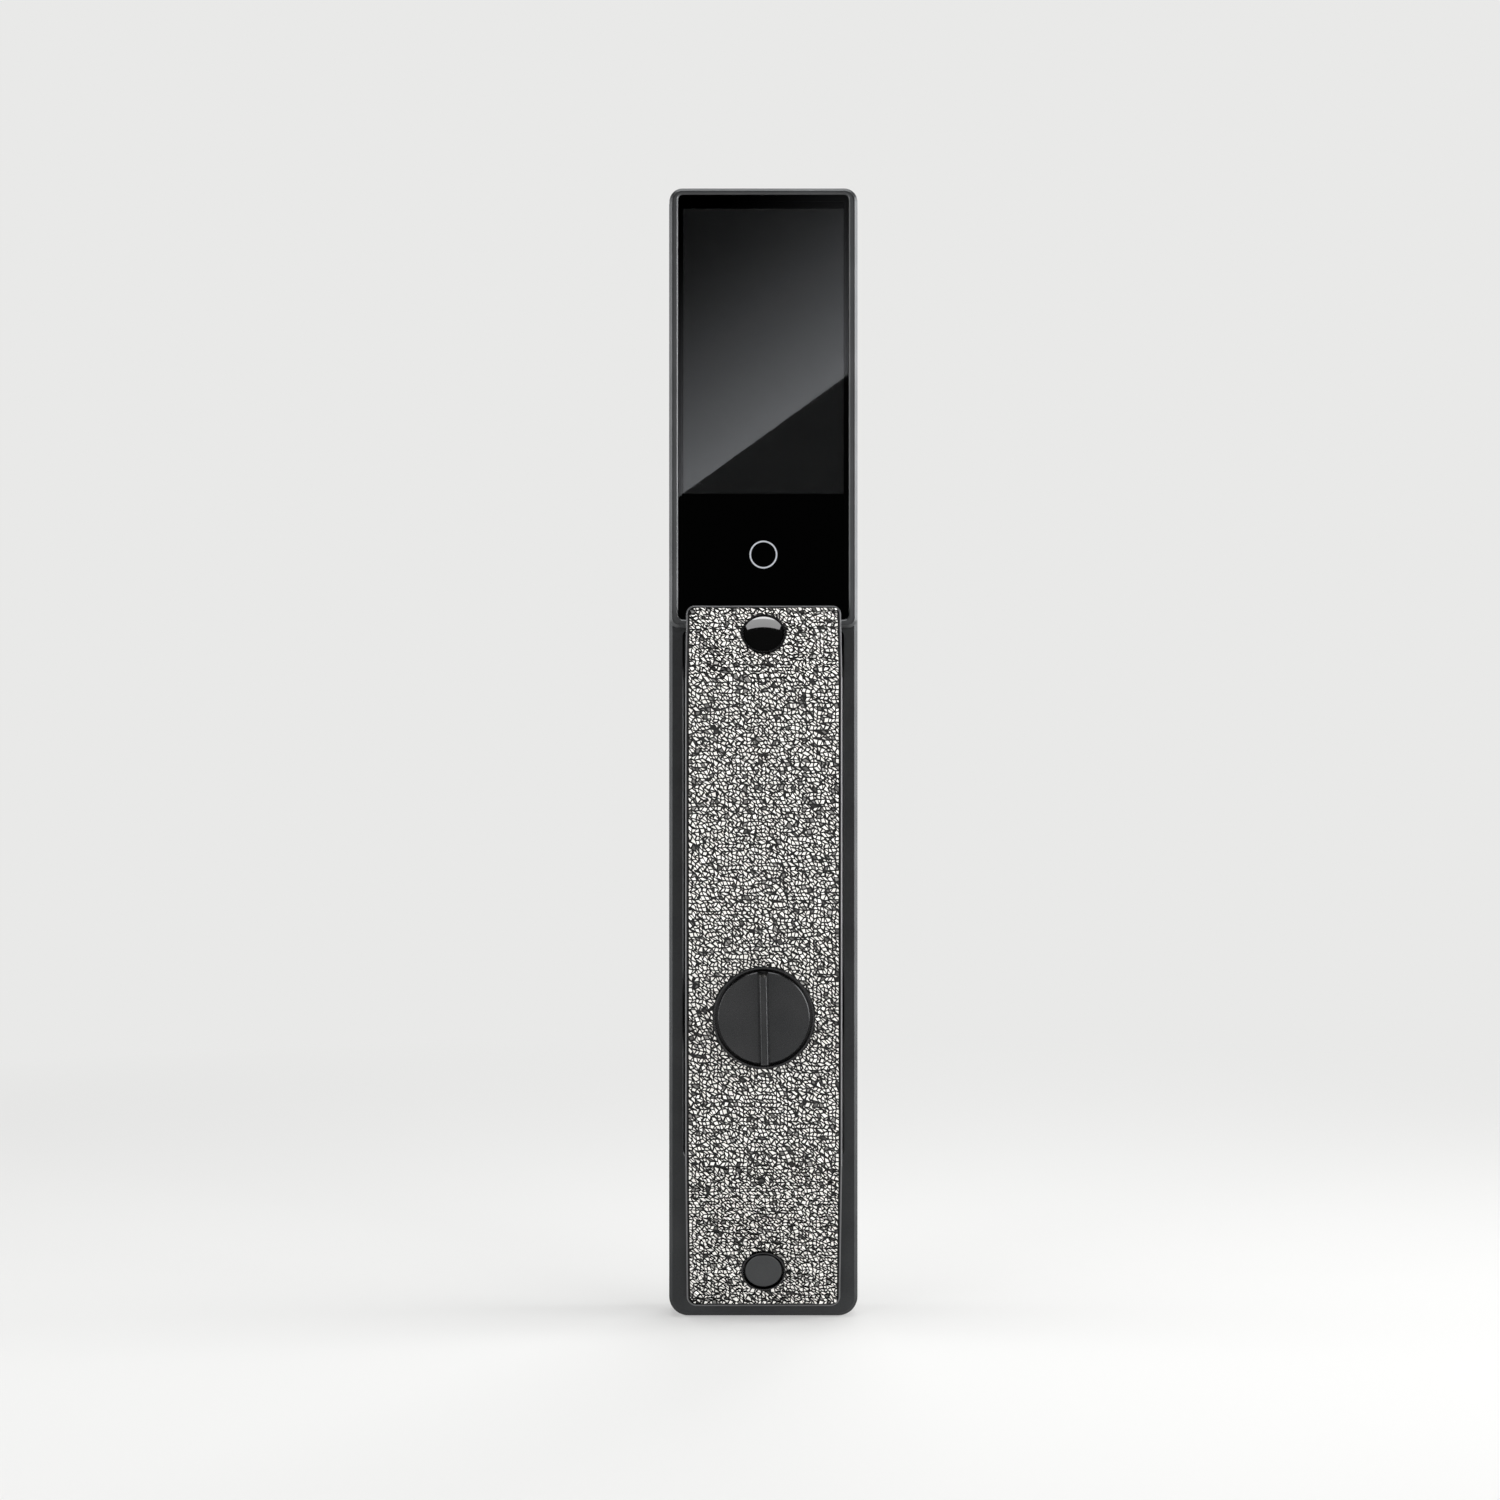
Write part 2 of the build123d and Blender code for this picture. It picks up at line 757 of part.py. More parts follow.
with BuildPart() as battery_door:
    with BuildSketch(Plane.XY.offset(body_bottom_z)):
        with Locations((0, -(door_low_h + door_high_h) / 2)):
            Rectangle(door_w, door_high_h - door_low_h)
        with Locations((-door_screw_x, -battery_mid_h), (door_screw_x, -battery_mid_h)):
            Circle(door_screw_r + fit_gap, mode=Mode.SUBTRACT)
    extrude(amount=door_t)
    # A rib that steps into the mouth and keeps the pack from rattling.
    with BuildSketch(Plane.XY.offset(body_bottom_z + door_t)):
        with Locations((0, -(bay_low_h + bay_high_h) / 2)):
            Rectangle(2 * bay_half_w - 2 * loose_gap, bay_high_h - bay_low_h - 2 * loose_gap)
            Rectangle(2 * bay_half_w - door_rib, bay_high_h - bay_low_h - door_rib, mode=Mode.SUBTRACT)
    extrude(amount=bottom_wall - door_t)
    with BuildSketch(Plane.XY.offset(body_bottom_z)):
        with Locations((-door_screw_x, -battery_mid_h), (door_screw_x, -battery_mid_h)):
            Circle(door_head_r + fit_gap)
    extrude(amount=door_head_t, mode=Mode.SUBTRACT)

with BuildPart() as battery_door_screws:
    pan_screws(
        Plane.XY.offset(body_bottom_z + door_head_t),
        [(-door_screw_x, -battery_mid_h), (door_screw_x, -battery_mid_h)],
        door_head_r,
        door_head_t,
        door_screw_r,
        bottom_wall - door_head_t + door_boss_l,
    )

with BuildPart() as battery_pack:
    with BuildSketch(Plane.XY.offset(battery_bottom_z)):
        with Locations((0, -battery_mid_h)):
            RectangleRounded(battery_w, battery_t, battery_r)
    extrude(amount=battery_l)
    chamfer(battery_pack.faces().filter_by(Axis.Z).edges(), battery_edge)

contact_low_z = battery_top_z + contact_reach
contact_t = trough_inner_h - battery_h - contact_rise
contact_line_h = trough_inner_h - contact_t / 2
with BuildPart() as battery_contact_block:
    with BuildSketch(Plane.XY.offset(contact_low_z)):
        with Locations((0, -contact_line_h)):
            Rectangle(contact_w, contact_t)
    extrude(amount=contact_l)
    with BuildSketch(Plane.XY.offset(contact_low_z)):
        with Locations((-contact_pin_x, -contact_line_h), (contact_pin_x, -contact_line_h)):
            Circle(contact_pin_r)
    extrude(amount=contact_l, mode=Mode.SUBTRACT)

with BuildPart() as battery_contacts:
    with BuildSketch(Plane.XY.offset(battery_top_z)):
        with Locations((-contact_pin_x, -contact_line_h), (contact_pin_x, -contact_line_h)):
            Circle(contact_pin_r)
    extrude(amount=contact_low_z + contact_l - battery_top_z)

# ==== screen module =================================================================================

frame_w = body_w - 2 * frame_inset
frame_top_z = body_top_z - frame_inset
frame_top_r = top_corner_r - frame_inset
frame_outline = outline(frame_w, frame_bottom_z, frame_top_z, frame_corner_r, frame_top_r)
with BuildPart() as screen_frame:
    raise_from(frame_outline, frame_back_h, frame_front_h)
    chamfer(screen_frame.faces().sort_by(Axis.Y)[0].edges(), frame_chamfer)
    # Shadow gap where the frame meets the base.
    cut(
        frame_outline
        - outline(
            frame_w - 2 * frame_shadow_w,
            frame_bottom_z + frame_shadow_w,
            frame_top_z - frame_shadow_w,
            frame_corner_r - frame_shadow_w,
            frame_top_r - frame_shadow_w,
        ),
        frame_back_h,
        frame_back_h + frame_shadow_t,
    )
    # Rebate for the glass, with a bright bevel round it, and the window behind it.
    cut(
        outline(
            2 * (glass_half_w + fit_gap),
            glass_bottom_z - fit_gap,
            glass_top_z + fit_gap,
            glass_corner_r,
            glass_corner_r,
        ),
        glass_back_h,
        frame_front_h,
    )
    glass_rim = screen_frame.faces().filter_by(Axis.Y).sort_by(Axis.Y)[0].inner_wires()[0]
    chamfer(glass_rim.edges(), pocket_bevel)
    cut(
        outline(
            2 * frame_window_half_w,
            frame_window_low_z,
            frame_window_high_z,
            frame_window_r,
            frame_window_r,
        ),
        frame_back_h,
        glass_back_h,
    )
    # Fine groove that parts the flat of the frame from its outer chamfer.
    with BuildSketch(door_plane(frame_front_h - frame_groove_d)) as groove:
        for inset, mode in (
            (frame_groove_inset, Mode.ADD),
            (frame_groove_inset + frame_groove_w, Mode.SUBTRACT),
        ):
            add(
                outline(
                    frame_w - 2 * inset,
                    frame_bottom_z + inset,
                    frame_top_z - inset,
                    frame_corner_r - inset,
                    frame_top_r - inset,
                ),
                mode=mode,
            )
    extrude(amount=frame_groove_d, mode=Mode.SUBTRACT)
    cut(spots(frame_screw_points, m2_r), frame_back_h, frame_back_h + frame_screw_bite + frame_hole_spare)

with BuildPart() as frame_screws:
    pan_screws(
        door_plane(carrier_back_h),
        frame_screw_points,
        m2_head_r,
        m2_head_t,
        m2_r,
        frame_back_h + frame_screw_bite - carrier_back_h,
    )

with BuildPart() as cover_glass:
    raise_from(
        outline(2 * glass_half_w, glass_bottom_z, glass_top_z, glass_corner_r, glass_corner_r),
        glass_back_h,
        glass_front_h,
    )
    chamfer(cover_glass.faces().sort_by(Axis.Y)[0].edges(), glass_edge)

with BuildPart() as mask_film:
    raise_from(
        outline(
            2 * frame_window_half_w - 2 * fit_gap,
            frame_window_low_z + fit_gap,
            frame_window_high_z - fit_gap,
            frame_window_r,
            frame_window_r,
        ),
        film_back_h,
        glass_back_h,
    )
    cut(blocks([(0, active_z)], active_w, active_l), film_back_h, glass_back_h)
    cut(spots([(0, key_z)], key_r), film_back_h, glass_back_h)

with BuildPart() as touch_key_ring:
    raise_from(spots([(0, key_z)], key_r), film_back_h, glass_back_h)
    cut(spots([(0, key_z)], key_r - key_line), film_back_h, glass_back_h)

with BuildPart() as touch_key_pad:
    raise_from(spots([(0, key_z)], key_r - key_line), film_back_h, glass_back_h)
    raise_from(spots([(0, key_z)], key_r + key_pad_rim), film_back_h - key_pad_t, film_back_h)

with BuildPart() as display_panel:
    raise_from(
        outline(
            active_w + 2 * panel_border,
            active_low_z - panel_border_low,
            active_high_z + panel_border,
        ),
        display_back_h,
        film_back_h,
    )

with BuildPart() as display_board:
    raise_from(
        blocks([(0, active_z)], display_board_w, display_board_l),
        display_back_h - display_board_t,
        display_back_h,
    )

with BuildPart() as display_carrier:
    raise_from(
        outline(inner_w - 2 * fit_gap, carrier_low_z, carrier_high_z, carrier_corner_r, carrier_corner_r),
        carrier_back_h,
        inner_front_h,
    )
    cut(blocks([(0, active_z)], carrier_window_w, carrier_window_l), carrier_back_h, inner_front_h)
    cut(blocks([(0, key_z)], key_window_w, key_window_l), carrier_back_h, inner_front_h)
    raise_from(spots(board_screw_points, carrier_leg_r), board_h + board_t, carrier_back_h)
    cut(spots(board_screw_points, m2_r), board_h + board_t, board_h + board_t + m2_reach)
    cut(spots(frame_screw_points, m2_r + fit_gap), carrier_back_h, inner_front_h)

# ==== main board ====================================================================================

with BuildPart() as main_board:
    raise_from(
        outline(board_w, board_low_z, board_high_z, board_corner_r, board_corner_r),
        board_h,
        board_h + board_t,
    )
    cut(spots(board_screw_points, m2_r + fit_gap), board_h, board_h + board_t)

with BuildPart() as shield_can:
    raise_from(blocks([(0, can_z)], can_w, can_l), board_h + board_t, board_h + board_t + can_t)
    fillet(shield_can.edges().filter_by(Axis.Y), can_corner_r)
    chamfer(shield_can.faces().sort_by(Axis.Y)[0].edges(), can_edge)

with BuildPart() as loom_socket:
    raise_from(blocks([(0, cable_z)], socket_w, socket_l), socket_back_h, board_h)
    cut(
        blocks([(0, cable_z)], socket_w - 2 * socket_wall, socket_l - 2 * socket_wall),
        socket_back_h,
        socket_back_h + socket_depth,
    )

with BuildPart() as speaker:
    raise_from(
        blocks([(0, inner_top_z - speaker_l / 2)], speaker_w, speaker_l),
        speaker_h,
        speaker_h + speaker_t,
    )
    fillet(speaker.edges().filter_by(Axis.Z), speaker_corner_r)

with BuildPart() as board_screws:
    pan_screws(door_plane(board_h), board_screw_points, m2_head_r, m2_head_t, m2_r, m2_reach)

# ==== grip ==========================================================================================

grip_underside = [
    (base_front_h, grip_bottom_z),
    (base_front_h, trough_bottom_z),
    (grip_back_h, throat_z),
    (grip_back_h, head_z),
    (head_back_h + shoulder_rise, post_low_z),
    (head_back_h, post_high_z),
    (head_back_h, grip_top_z),
]
with BuildPart() as grip_shell:
    with BuildSketch(Plane.YZ) as shell_side:
        with BuildLine():
            back = Polyline(*[(-h, z) for h, z in grip_underside])
            front = Polyline(*[(-h, z) for h, z in bent_line(bezel_d, grip_top_z, grip_bottom_z)])
            Line(back @ 1, front @ 0)
            Line(front @ 1, back @ 0)
        make_face()
        throat = shell_side.vertices().sort_by_distance((-grip_back_h, throat_z))[0]
        brow = shell_side.vertices().sort_by_distance((-grip_back_h, head_z))[0]
        fillet([throat, brow], throat_round)
    extrude(amount=grip_half_w, both=True)
    keep_within(grip_outline)
    fillet(grip_shell.edges().filter_by(on_grip_underside), grip_back_r)
    # Hollow bar, open at the back for its cover.
    side_prism(
        [
            (grip_back_h, bar_hollow_low_z),
            (grip_back_h, bar_hollow_high_z),
            (grip_front_h - cavity_d, bar_hollow_high_z),
            (grip_front_h - cavity_d, bar_hollow_low_z),
        ],
        cavity_half_w,
        Mode.SUBTRACT,
    )
    # Hollow head over the post.
    head_floor = [
        (grip_back_h + head_floor_t, bar_hollow_high_z),
        (head_back_h + shoulder_rise + head_floor_t, post_low_z),
        (head_back_h + head_floor_t, head_end_z),
    ]
    side_prism(
        head_floor + bent_line(cavity_d, head_end_z, bar_hollow_high_z),
        cavity_half_w,
        Mode.SUBTRACT,
    )
    cut(
        outline(post_hollow_w, post_low_z + post_wall, post_high_z - post_wall),
        head_back_h - cut_spare,
        head_back_h + shoulder_rise + head_floor_t,
    )
    # Hollow wedge, open towards the base.
    side_prism(
        [
            (base_front_h, grip_bottom_z + grip_wall),
            (base_front_h, trough_bottom_z - grip_wall),
            (grip_front_h - cavity_d - wedge_roof_drop, wedge_hollow_high_z),
            *bent_line(cavity_d, wedge_hollow_high_z, grip_bottom_z + grip_wall),
        ],
        cavity_half_w,
        Mode.SUBTRACT,
    )
    for x, z in wedge_screw_points:
        boss_h = min(face_h(z - wedge_boss_r, cavity_d - boss_sink), base_front_h + wedge_boss_l)
        raise_from(spots([(x, z)], wedge_boss_r), base_front_h, boss_h)
        cut(spots([(x, z)], m3_r), base_front_h, base_front_h + m3_reach - front_wall)
    # Bosses that the back cover is screwed to.
    raise_from(spots(cover_screw_points, cover_boss_r), cover_front_h, grip_front_h - cavity_d)
    cut(spots(cover_screw_points, m2_r), cover_front_h, grip_front_h - cavity_d)
    # Seats of the two buttons and of the knob's ring.
    bore_plane(open_plane, open_ring_r + fit_gap, cup_floor_d + cup_floor_t + fit_gap)
    bore_plane(lock_plane, lock_ring_r + fit_gap, cup_floor_d + cup_floor_t + fit_gap)
    cut(spots([(0, knob_z)], knob_ring_r + fit_gap), grip_back_h, grip_front_h)

with BuildPart() as grip_back_cover:
    raise_from(
        outline(
            2 * (cavity_half_w - fit_gap),
            bar_hollow_low_z + fit_gap,
            bar_hollow_high_z - fit_gap,
        ),
        grip_back_h,
        cover_front_h,
    )
    cut(spots([(0, knob_z)], shaft_r + shaft_gap), grip_back_h, cover_front_h)
    cut(spots(cover_screw_points, m2_r + fit_gap), grip_back_h, cover_front_h)
    cut(spots(cover_screw_points, m2_head_r + fit_gap), grip_back_h, grip_back_h + m2_head_t)

with BuildPart() as cover_screws:
    pan_screws(
        door_plane(grip_back_h + m2_head_t),
        cover_screw_points,
        m2_head_r,
        m2_head_t,
        m2_r,
        m2_reach - m2_head_t,
    )

with BuildPart() as grip_post:
    side_prism(
        [
            (trough_floor_h, post_low_z),
            (head_back_h + shoulder_rise, post_low_z),
            (head_back_h, post_high_z),
            (trough_floor_h, post_high_z),
        ],
        post_w / 2,
    )
    fillet(grip_post.edges().filter_by(Axis.Y), post_corner_r)
    cut(
        outline(post_hollow_w, post_low_z + post_wall, post_high_z - post_wall),
        trough_floor_h,
        head_back_h + shoulder_rise,
    )
    cut(spots(post_screw_points, m3_r), trough_floor_h, trough_floor_h + m3_reach - trough_wall)

with BuildPart() as knob_column:
    raise_from(spots([(0, knob_z)], column_flange_r), trough_floor_h, trough_floor_h + column_flange_t)
    raise_from(spots([(0, knob_z)], column_r), trough_floor_h, grip_back_h)
    foot_edge = knob_column.edges().filter_by(GeomType.CIRCLE).filter_by(
        lambda edge: abs(edge.radius - column_r) < fit_gap
    )
    fillet(foot_edge.sort_by(Axis.Y)[-1], column_foot_r)
    cut(spots([(0, knob_z)], bushing_r), trough_floor_h, grip_back_h)
    cut(spots(column_screw_points, m3_r), trough_floor_h, trough_floor_h + m3_reach - trough_wall)

with BuildPart() as grip_screws:
    floor_points = post_screw_points + column_screw_points
    pan_screws(door_plane(trough_inner_h), floor_points, m3_head_r, m3_head_t, m3_r, m3_reach)
    pan_screws(door_plane(inner_front_h), wedge_screw_points, m3_head_r, m3_head_t, m3_r, m3_reach)

# ==== crystal inlay =================================================================================

with BuildPart() as inlay_frame:
    bent_sheet(0, bezel_d, grip_top_z, grip_bottom_z, grip_half_w)
    keep_within(grip_outline)
    front_edges = inlay_frame.faces().filter_by(looks_out).edges()
    chamfer(front_edges.filter_by(off_the_creases), bezel_edge)
    with BuildSketch(Plane.XZ) as window:
        add(window_outline)
    extrude(window.sketch, amount=2 * grip_front_h, mode=Mode.SUBTRACT)

inlay_top_z = grip_top_z - bezel_t - fit_gap
inlay_bottom_z = grip_bottom_z + bezel_t + fit_gap
inlay_half_w = grip_half_w - bezel_t - fit_gap

with BuildPart() as upper_inlay:
    bent_sheet(inlay_top, bezel_d, inlay_top_z, crease_top_z + fit_gap, inlay_half_w)
    keep_within(inlay_outline)
    bore_plane(open_plane, open_ring_r + fit_gap, bezel_d + cut_spare)

with BuildPart() as middle_inlay:
    bent_sheet(inlay_top, bezel_d, crease_top_z - fit_gap, crease_bottom_z + fit_gap, inlay_half_w)
    cut(spots([(0, knob_z)], knob_ring_r + fit_gap), grip_front_h - bezel_d, grip_front_h)

with BuildPart() as lower_inlay:
    bent_sheet(inlay_top, bezel_d, crease_bottom_z - fit_gap, inlay_bottom_z, inlay_half_w)
    keep_within(inlay_outline)
    bore_plane(lock_plane, lock_ring_r + fit_gap, bezel_d + cut_spare)


# ==== push buttons ==================================================================================


def disc(plane, depth_low, depth_high, radius, mode=Mode.ADD):
    """A disc square to a plane, between two depths under it."""
    with BuildSketch(plane.offset(-depth_low)) as sheet:
        Circle(radius)
    extrude(sheet.sketch, amount=depth_low - depth_high, mode=mode)


def bars(plane, depth_low, depth_high, points, width, length):
    """Rectangular bars square to a plane, between two depths under it."""
    with BuildSketch(plane.offset(-depth_low)) as sheet:
        with Locations(*points):
            Rectangle(width, length)
    extrude(sheet.sketch, amount=depth_low - depth_high)


cup_end_d = cup_floor_d + cup_floor_t
plunger_d = stem_end_d + button_travel + run_gap
switch_d = plunger_d + plunger_t
button_board_d = switch_d + switch_t


def button_cup(plane, ring_r, lean):
    """Sleeve that guides a button, with a floor for its spring and two legs that carry its switch."""
    with BuildPart() as cup:
        disc(plane, cup_end_d, -ring_proud, ring_r)
        legs = [(sx * leg_x, lean * leg_shift) for sx in (-1, 1)]
        bars(plane, button_board_d, cavity_d, legs, leg_w, leg_l)
        arms = [(sx * (leg_x - arm_w / 2), lean * leg_shift) for sx in (-1, 1)]
        bars(plane, cup_end_d, cavity_d, arms, arm_w, leg_l)
        disc(plane, cup_floor_d, -ring_proud, ring_r - ring_wall, Mode.SUBTRACT)
        disc(plane, cup_end_d, cup_floor_d, stem_r + run_gap, Mode.SUBTRACT)
    return cup.part


def button_cap(plane, radius, dome):
    """Cap and stem of a push button; dome is how far the cap's face bulges."""
    with BuildPart() as cap:
        disc(plane, cap_t, 0, radius)
        if dome:
            sphere_r = (radius**2 + dome**2) / (2 * dome)
            mid_angle = asin(radius / sphere_r) / 2
            with BuildSketch(Plane(origin=plane.origin, x_dir=plane.x_dir, z_dir=-plane.y_dir)) as bulge:
                with BuildLine():
                    ThreePointArc(
                        (0, dome),
                        (sphere_r * sin(mid_angle), dome - sphere_r * (1 - cos(mid_angle))),
                        (radius, 0),
                    )
                    Line((radius, 0), (0, 0))
                    Line((0, 0), (0, dome))
                make_face()
            revolve(bulge.sketch, axis=Axis(plane.origin, plane.z_dir))
        else:
            fillet(cap.faces().sort_by(Axis(plane.origin, plane.z_dir))[-1].edges(), cap_edge)
        disc(plane, stem_end_d, cap_t, stem_r)
        disc(plane, cup_end_d + fit_gap + clip_t, cup_end_d + fit_gap, stem_r, Mode.SUBTRACT)
        disc(plane, cup_end_d + fit_gap + clip_t, cup_end_d + fit_gap, clip_groove_r)
    return cap.part


def button_clip(plane):
    """Clip on the stem that stops the cap at rest."""
    with BuildPart() as clip:
        disc(plane, cup_end_d + fit_gap + clip_t, cup_end_d + fit_gap, clip_r)
        disc(plane, cup_end_d + fit_gap + clip_t, cup_end_d + fit_gap, clip_groove_r, Mode.SUBTRACT)
    return clip.part


def button_spring(plane):
    """Coil spring between the cap and the cup's floor."""
    room = cup_floor_d - cap_t - 2 * spring_wire_r - 2 * run_gap
    foot = plane.offset(-(cup_floor_d - spring_wire_r - run_gap))
    with BuildPart() as spring:
        with BuildLine() as coil:
            Helix(room / spring_turns, room, spring_r, center=foot.origin, direction=foot.z_dir)
        with BuildSketch(Plane(origin=coil.line @ 0, z_dir=coil.line % 0)):
            Circle(spring_wire_r)
        sweep(path=coil.line)
    return spring.part


def button_board(plane, lean):
    """Small circuit board on the ends of the cup's legs."""
    with BuildPart() as board:
        spot = [(0, lean * leg_shift)]
        bars(plane, button_board_d + button_board_t, button_board_d, spot, button_board_w, button_board_l)
    return board.part


def button_switch(plane):
    """Push switch under the stem, with its plunger."""
    with BuildPart() as switch:
        bars(plane, button_board_d, switch_d, [(0, 0)], switch_w, switch_w)
        disc(plane, switch_d, plunger_d, plunger_r)
    return switch.part


button_parts = {}
for button, plane, cap_r, ring_r, dome, lean in (
    ("open_button", open_plane, open_button_r, open_ring_r, open_dome, -1),
    ("lock_button", lock_plane, lock_button_r, lock_ring_r, 0, 1),
):
    button_parts[button + "_cup"] = button_cup(plane, ring_r, lean)
    button_parts[button] = button_cap(plane, cap_r, dome)
    button_parts[button + "_clip"] = button_clip(plane)
    button_parts[button + "_spring"] = button_spring(plane)
    button_parts[button + "_board"] = button_board(plane, lean)
    button_parts[button + "_switch"] = button_switch(plane)

# ==== thumb-turn ====================================================================================

web_back_h = shaft_back_h + spindle_depth
web_front_h = web_back_h + shaft_web
circlip_front_h = trough_inner_h - fit_gap - washer_t
knob_spot = [(0, knob_z)]

with BuildPart() as knob_ring:
    raise_from(spots(knob_spot, knob_ring_r), cover_front_h, grip_front_h + knob_ring_proud)
    cut(
        spots(knob_spot, knob_ring_r - knob_ring_wall),
        cover_front_h + knob_ring_floor,
        grip_front_h + knob_ring_proud,
    )
    cut(spots(knob_spot, shaft_r + shaft_gap), cover_front_h, cover_front_h + knob_ring_floor)

with BuildPart() as knob:
    raise_from(spots(knob_spot, knob_r), knob_back_h, knob_front_h)
    chamfer(knob.faces().sort_by(Axis.Y)[0].edges(), knob_edge)
    with BuildSketch(door_plane(knob_front_h)):
        with Locations((0, knob_z)):
            Rectangle(blade_base_w, blade_base_l, rotation=blade_lean)
    extrude(amount=blade_rise, taper=blade_draft)
    fillet(knob.faces().sort_by(Axis.Y)[0].edges(), blade_edge)
    with BuildSketch(door_plane(blade_front_h - blade_inset_d)):
        with Locations((0, knob_z)):
            Rectangle(blade_inset_w, blade_inset_l, rotation=blade_lean)
    extrude(amount=blade_inset_d, mode=Mode.SUBTRACT)
    raise_from(spots(knob_spot, knob_boss_r), web_front_h, knob_back_h)
    cut(spots(knob_spot, knob_screw_r), web_front_h, web_front_h + knob_screw_bite)

with BuildPart() as knob_shaft:
    raise_from(spots(knob_spot, shaft_r), shaft_back_h, knob_back_h)
    cut(spots(knob_spot, knob_boss_r), web_front_h, knob_back_h)
    cut(blocks(knob_spot, socket_across, socket_across), shaft_back_h, web_back_h)
    cut(spots(knob_spot, knob_screw_r + fit_gap), web_back_h, web_front_h)
    for low, thickness in ((o_ring_h, o_ring_t), (circlip_front_h - circlip_t, circlip_t)):
        cut(spots(knob_spot, shaft_r), low, low + thickness)
        raise_from(spots(knob_spot, ring_groove_r), low, low + thickness)
        cut(blocks(knob_spot, socket_across, socket_across), low, low + thickness)

with BuildPart() as knob_screw:
    pan_screws(
        door_plane(web_back_h),
        knob_spot,
        knob_screw_head_r,
        knob_screw_head_t,
        knob_screw_r,
        shaft_web + knob_screw_bite,
    )

with BuildPart() as front_bushing:
    raise_from(spots(knob_spot, bushing_r), grip_back_h - bushing_l, grip_back_h)
    cut(spots(knob_spot, shaft_r + run_gap), grip_back_h - bushing_l, grip_back_h)

with BuildPart() as rear_bushing:
    raise_from(spots(knob_spot, bushing_r), trough_floor_h, trough_floor_h + bushing_l)
    cut(spots(knob_spot, shaft_r + run_gap), trough_floor_h, trough_floor_h + bushing_l)

with BuildPart() as shaft_friction_ring:
    raise_from(spots(knob_spot, bushing_r - run_gap), o_ring_h, o_ring_h + o_ring_t)
    cut(spots(knob_spot, ring_groove_r), o_ring_h, o_ring_h + o_ring_t)

with BuildPart() as shaft_washer:
    raise_from(spots(knob_spot, washer_r), circlip_front_h, circlip_front_h + washer_t)
    cut(spots(knob_spot, shaft_r), circlip_front_h, circlip_front_h + washer_t)

with BuildPart() as shaft_circlip:
    raise_from(spots(knob_spot, circlip_r), circlip_front_h - circlip_t, circlip_front_h)
    cut(spots(knob_spot, ring_groove_r), circlip_front_h - circlip_t, circlip_front_h)
    cut(
        blocks([(0, knob_z - circlip_r)], circlip_mouth, circlip_r),
        circlip_front_h - circlip_t,
        circlip_front_h,
    )

magnet_spot = [(0, knob_z + magnet_orbit)]
with BuildPart() as position_cam:
    raise_from(spots(knob_spot, cam_r), cam_h, cam_h + cam_t)
    cut(spots(knob_spot, shaft_r), cam_h, cam_h + cam_t)
    cut(spots(magnet_spot, magnet_r), cam_h + cam_t - magnet_t, cam_h + cam_t)

with BuildPart() as sensor_magnet:
    raise_from(spots(magnet_spot, magnet_r), cam_h + cam_t - magnet_t, cam_h + cam_t)

with BuildPart() as turn_sensor_board:
    raise_from(
        blocks(knob_spot, sensor_board_w, sensor_board_l), sensor_board_h, sensor_board_h + sensor_board_t
    )
    cut(spots(knob_spot, sensor_board_hole_r), sensor_board_h, sensor_board_h + sensor_board_t)
    cut(spots(sensor_screw_points, m2_r + fit_gap), sensor_board_h, sensor_board_h + sensor_board_t)

with BuildPart() as sensor_board_screws:
    pan_screws(
        door_plane(sensor_board_h),
        sensor_screw_points,
        m2_head_r,
        m2_head_t,
        m2_r,
        trough_inner_h - sensor_board_h,
    )

# ==== files =========================================================================================

pieces = {
    "door_gasket": door_gasket.part,
    "mounting_plate": mounting_plate.part,
    "base_housing": base_housing.part,
    "panel_screws": panel_screws.part,
    "battery_door": battery_door.part,
    "battery_door_screws": battery_door_screws.part,
    "battery_pack": battery_pack.part,
    "battery_contact_block": battery_contact_block.part,
    "battery_contacts": battery_contacts.part,
    "screen_frame": screen_frame.part,
    "frame_screws": frame_screws.part,
    "cover_glass": cover_glass.part,
    "mask_film": mask_film.part,
    "touch_key_ring": touch_key_ring.part,
    "touch_key_pad": touch_key_pad.part,
    "display_panel": display_panel.part,
    "display_board": display_board.part,
    "display_carrier": display_carrier.part,
    "main_board": main_board.part,
    "shield_can": shield_can.part,
    "loom_socket": loom_socket.part,
    "speaker": speaker.part,
    "board_screws": board_screws.part,
    "grip_shell": grip_shell.part,
    "grip_back_cover": grip_back_cover.part,
    "cover_screws": cover_screws.part,
    "grip_post": grip_post.part,
    "knob_column": knob_column.part,
    "grip_screws": grip_screws.part,
    "inlay_frame": inlay_frame.part,
    "upper_inlay": upper_inlay.part,
    "middle_inlay": middle_inlay.part,
    "lower_inlay": lower_inlay.part,
    "knob_ring": knob_ring.part,
    "knob": knob.part,
    "knob_shaft": knob_shaft.part,
    "knob_screw": knob_screw.part,
    "front_bushing": front_bushing.part,
    "rear_bushing": rear_bushing.part,
    "shaft_friction_ring": shaft_friction_ring.part,
    "shaft_washer": shaft_washer.part,
    "shaft_circlip": shaft_circlip.part,
    "position_cam": position_cam.part,
    "sensor_magnet": sensor_magnet.part,
    "turn_sensor_board": turn_sensor_board.part,
    "sensor_board_screws": sensor_board_screws.part,
    **button_parts,
}
os.makedirs("parts", exist_ok=True)
for name, piece in pieces.items():
    piece.label = name
    export_step(piece, f"parts/{name}.step")
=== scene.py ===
import json
from math import asin, cos, hypot, radians, sin, tan
import random

import bmesh
import bpy
from mathutils import Matrix, Vector


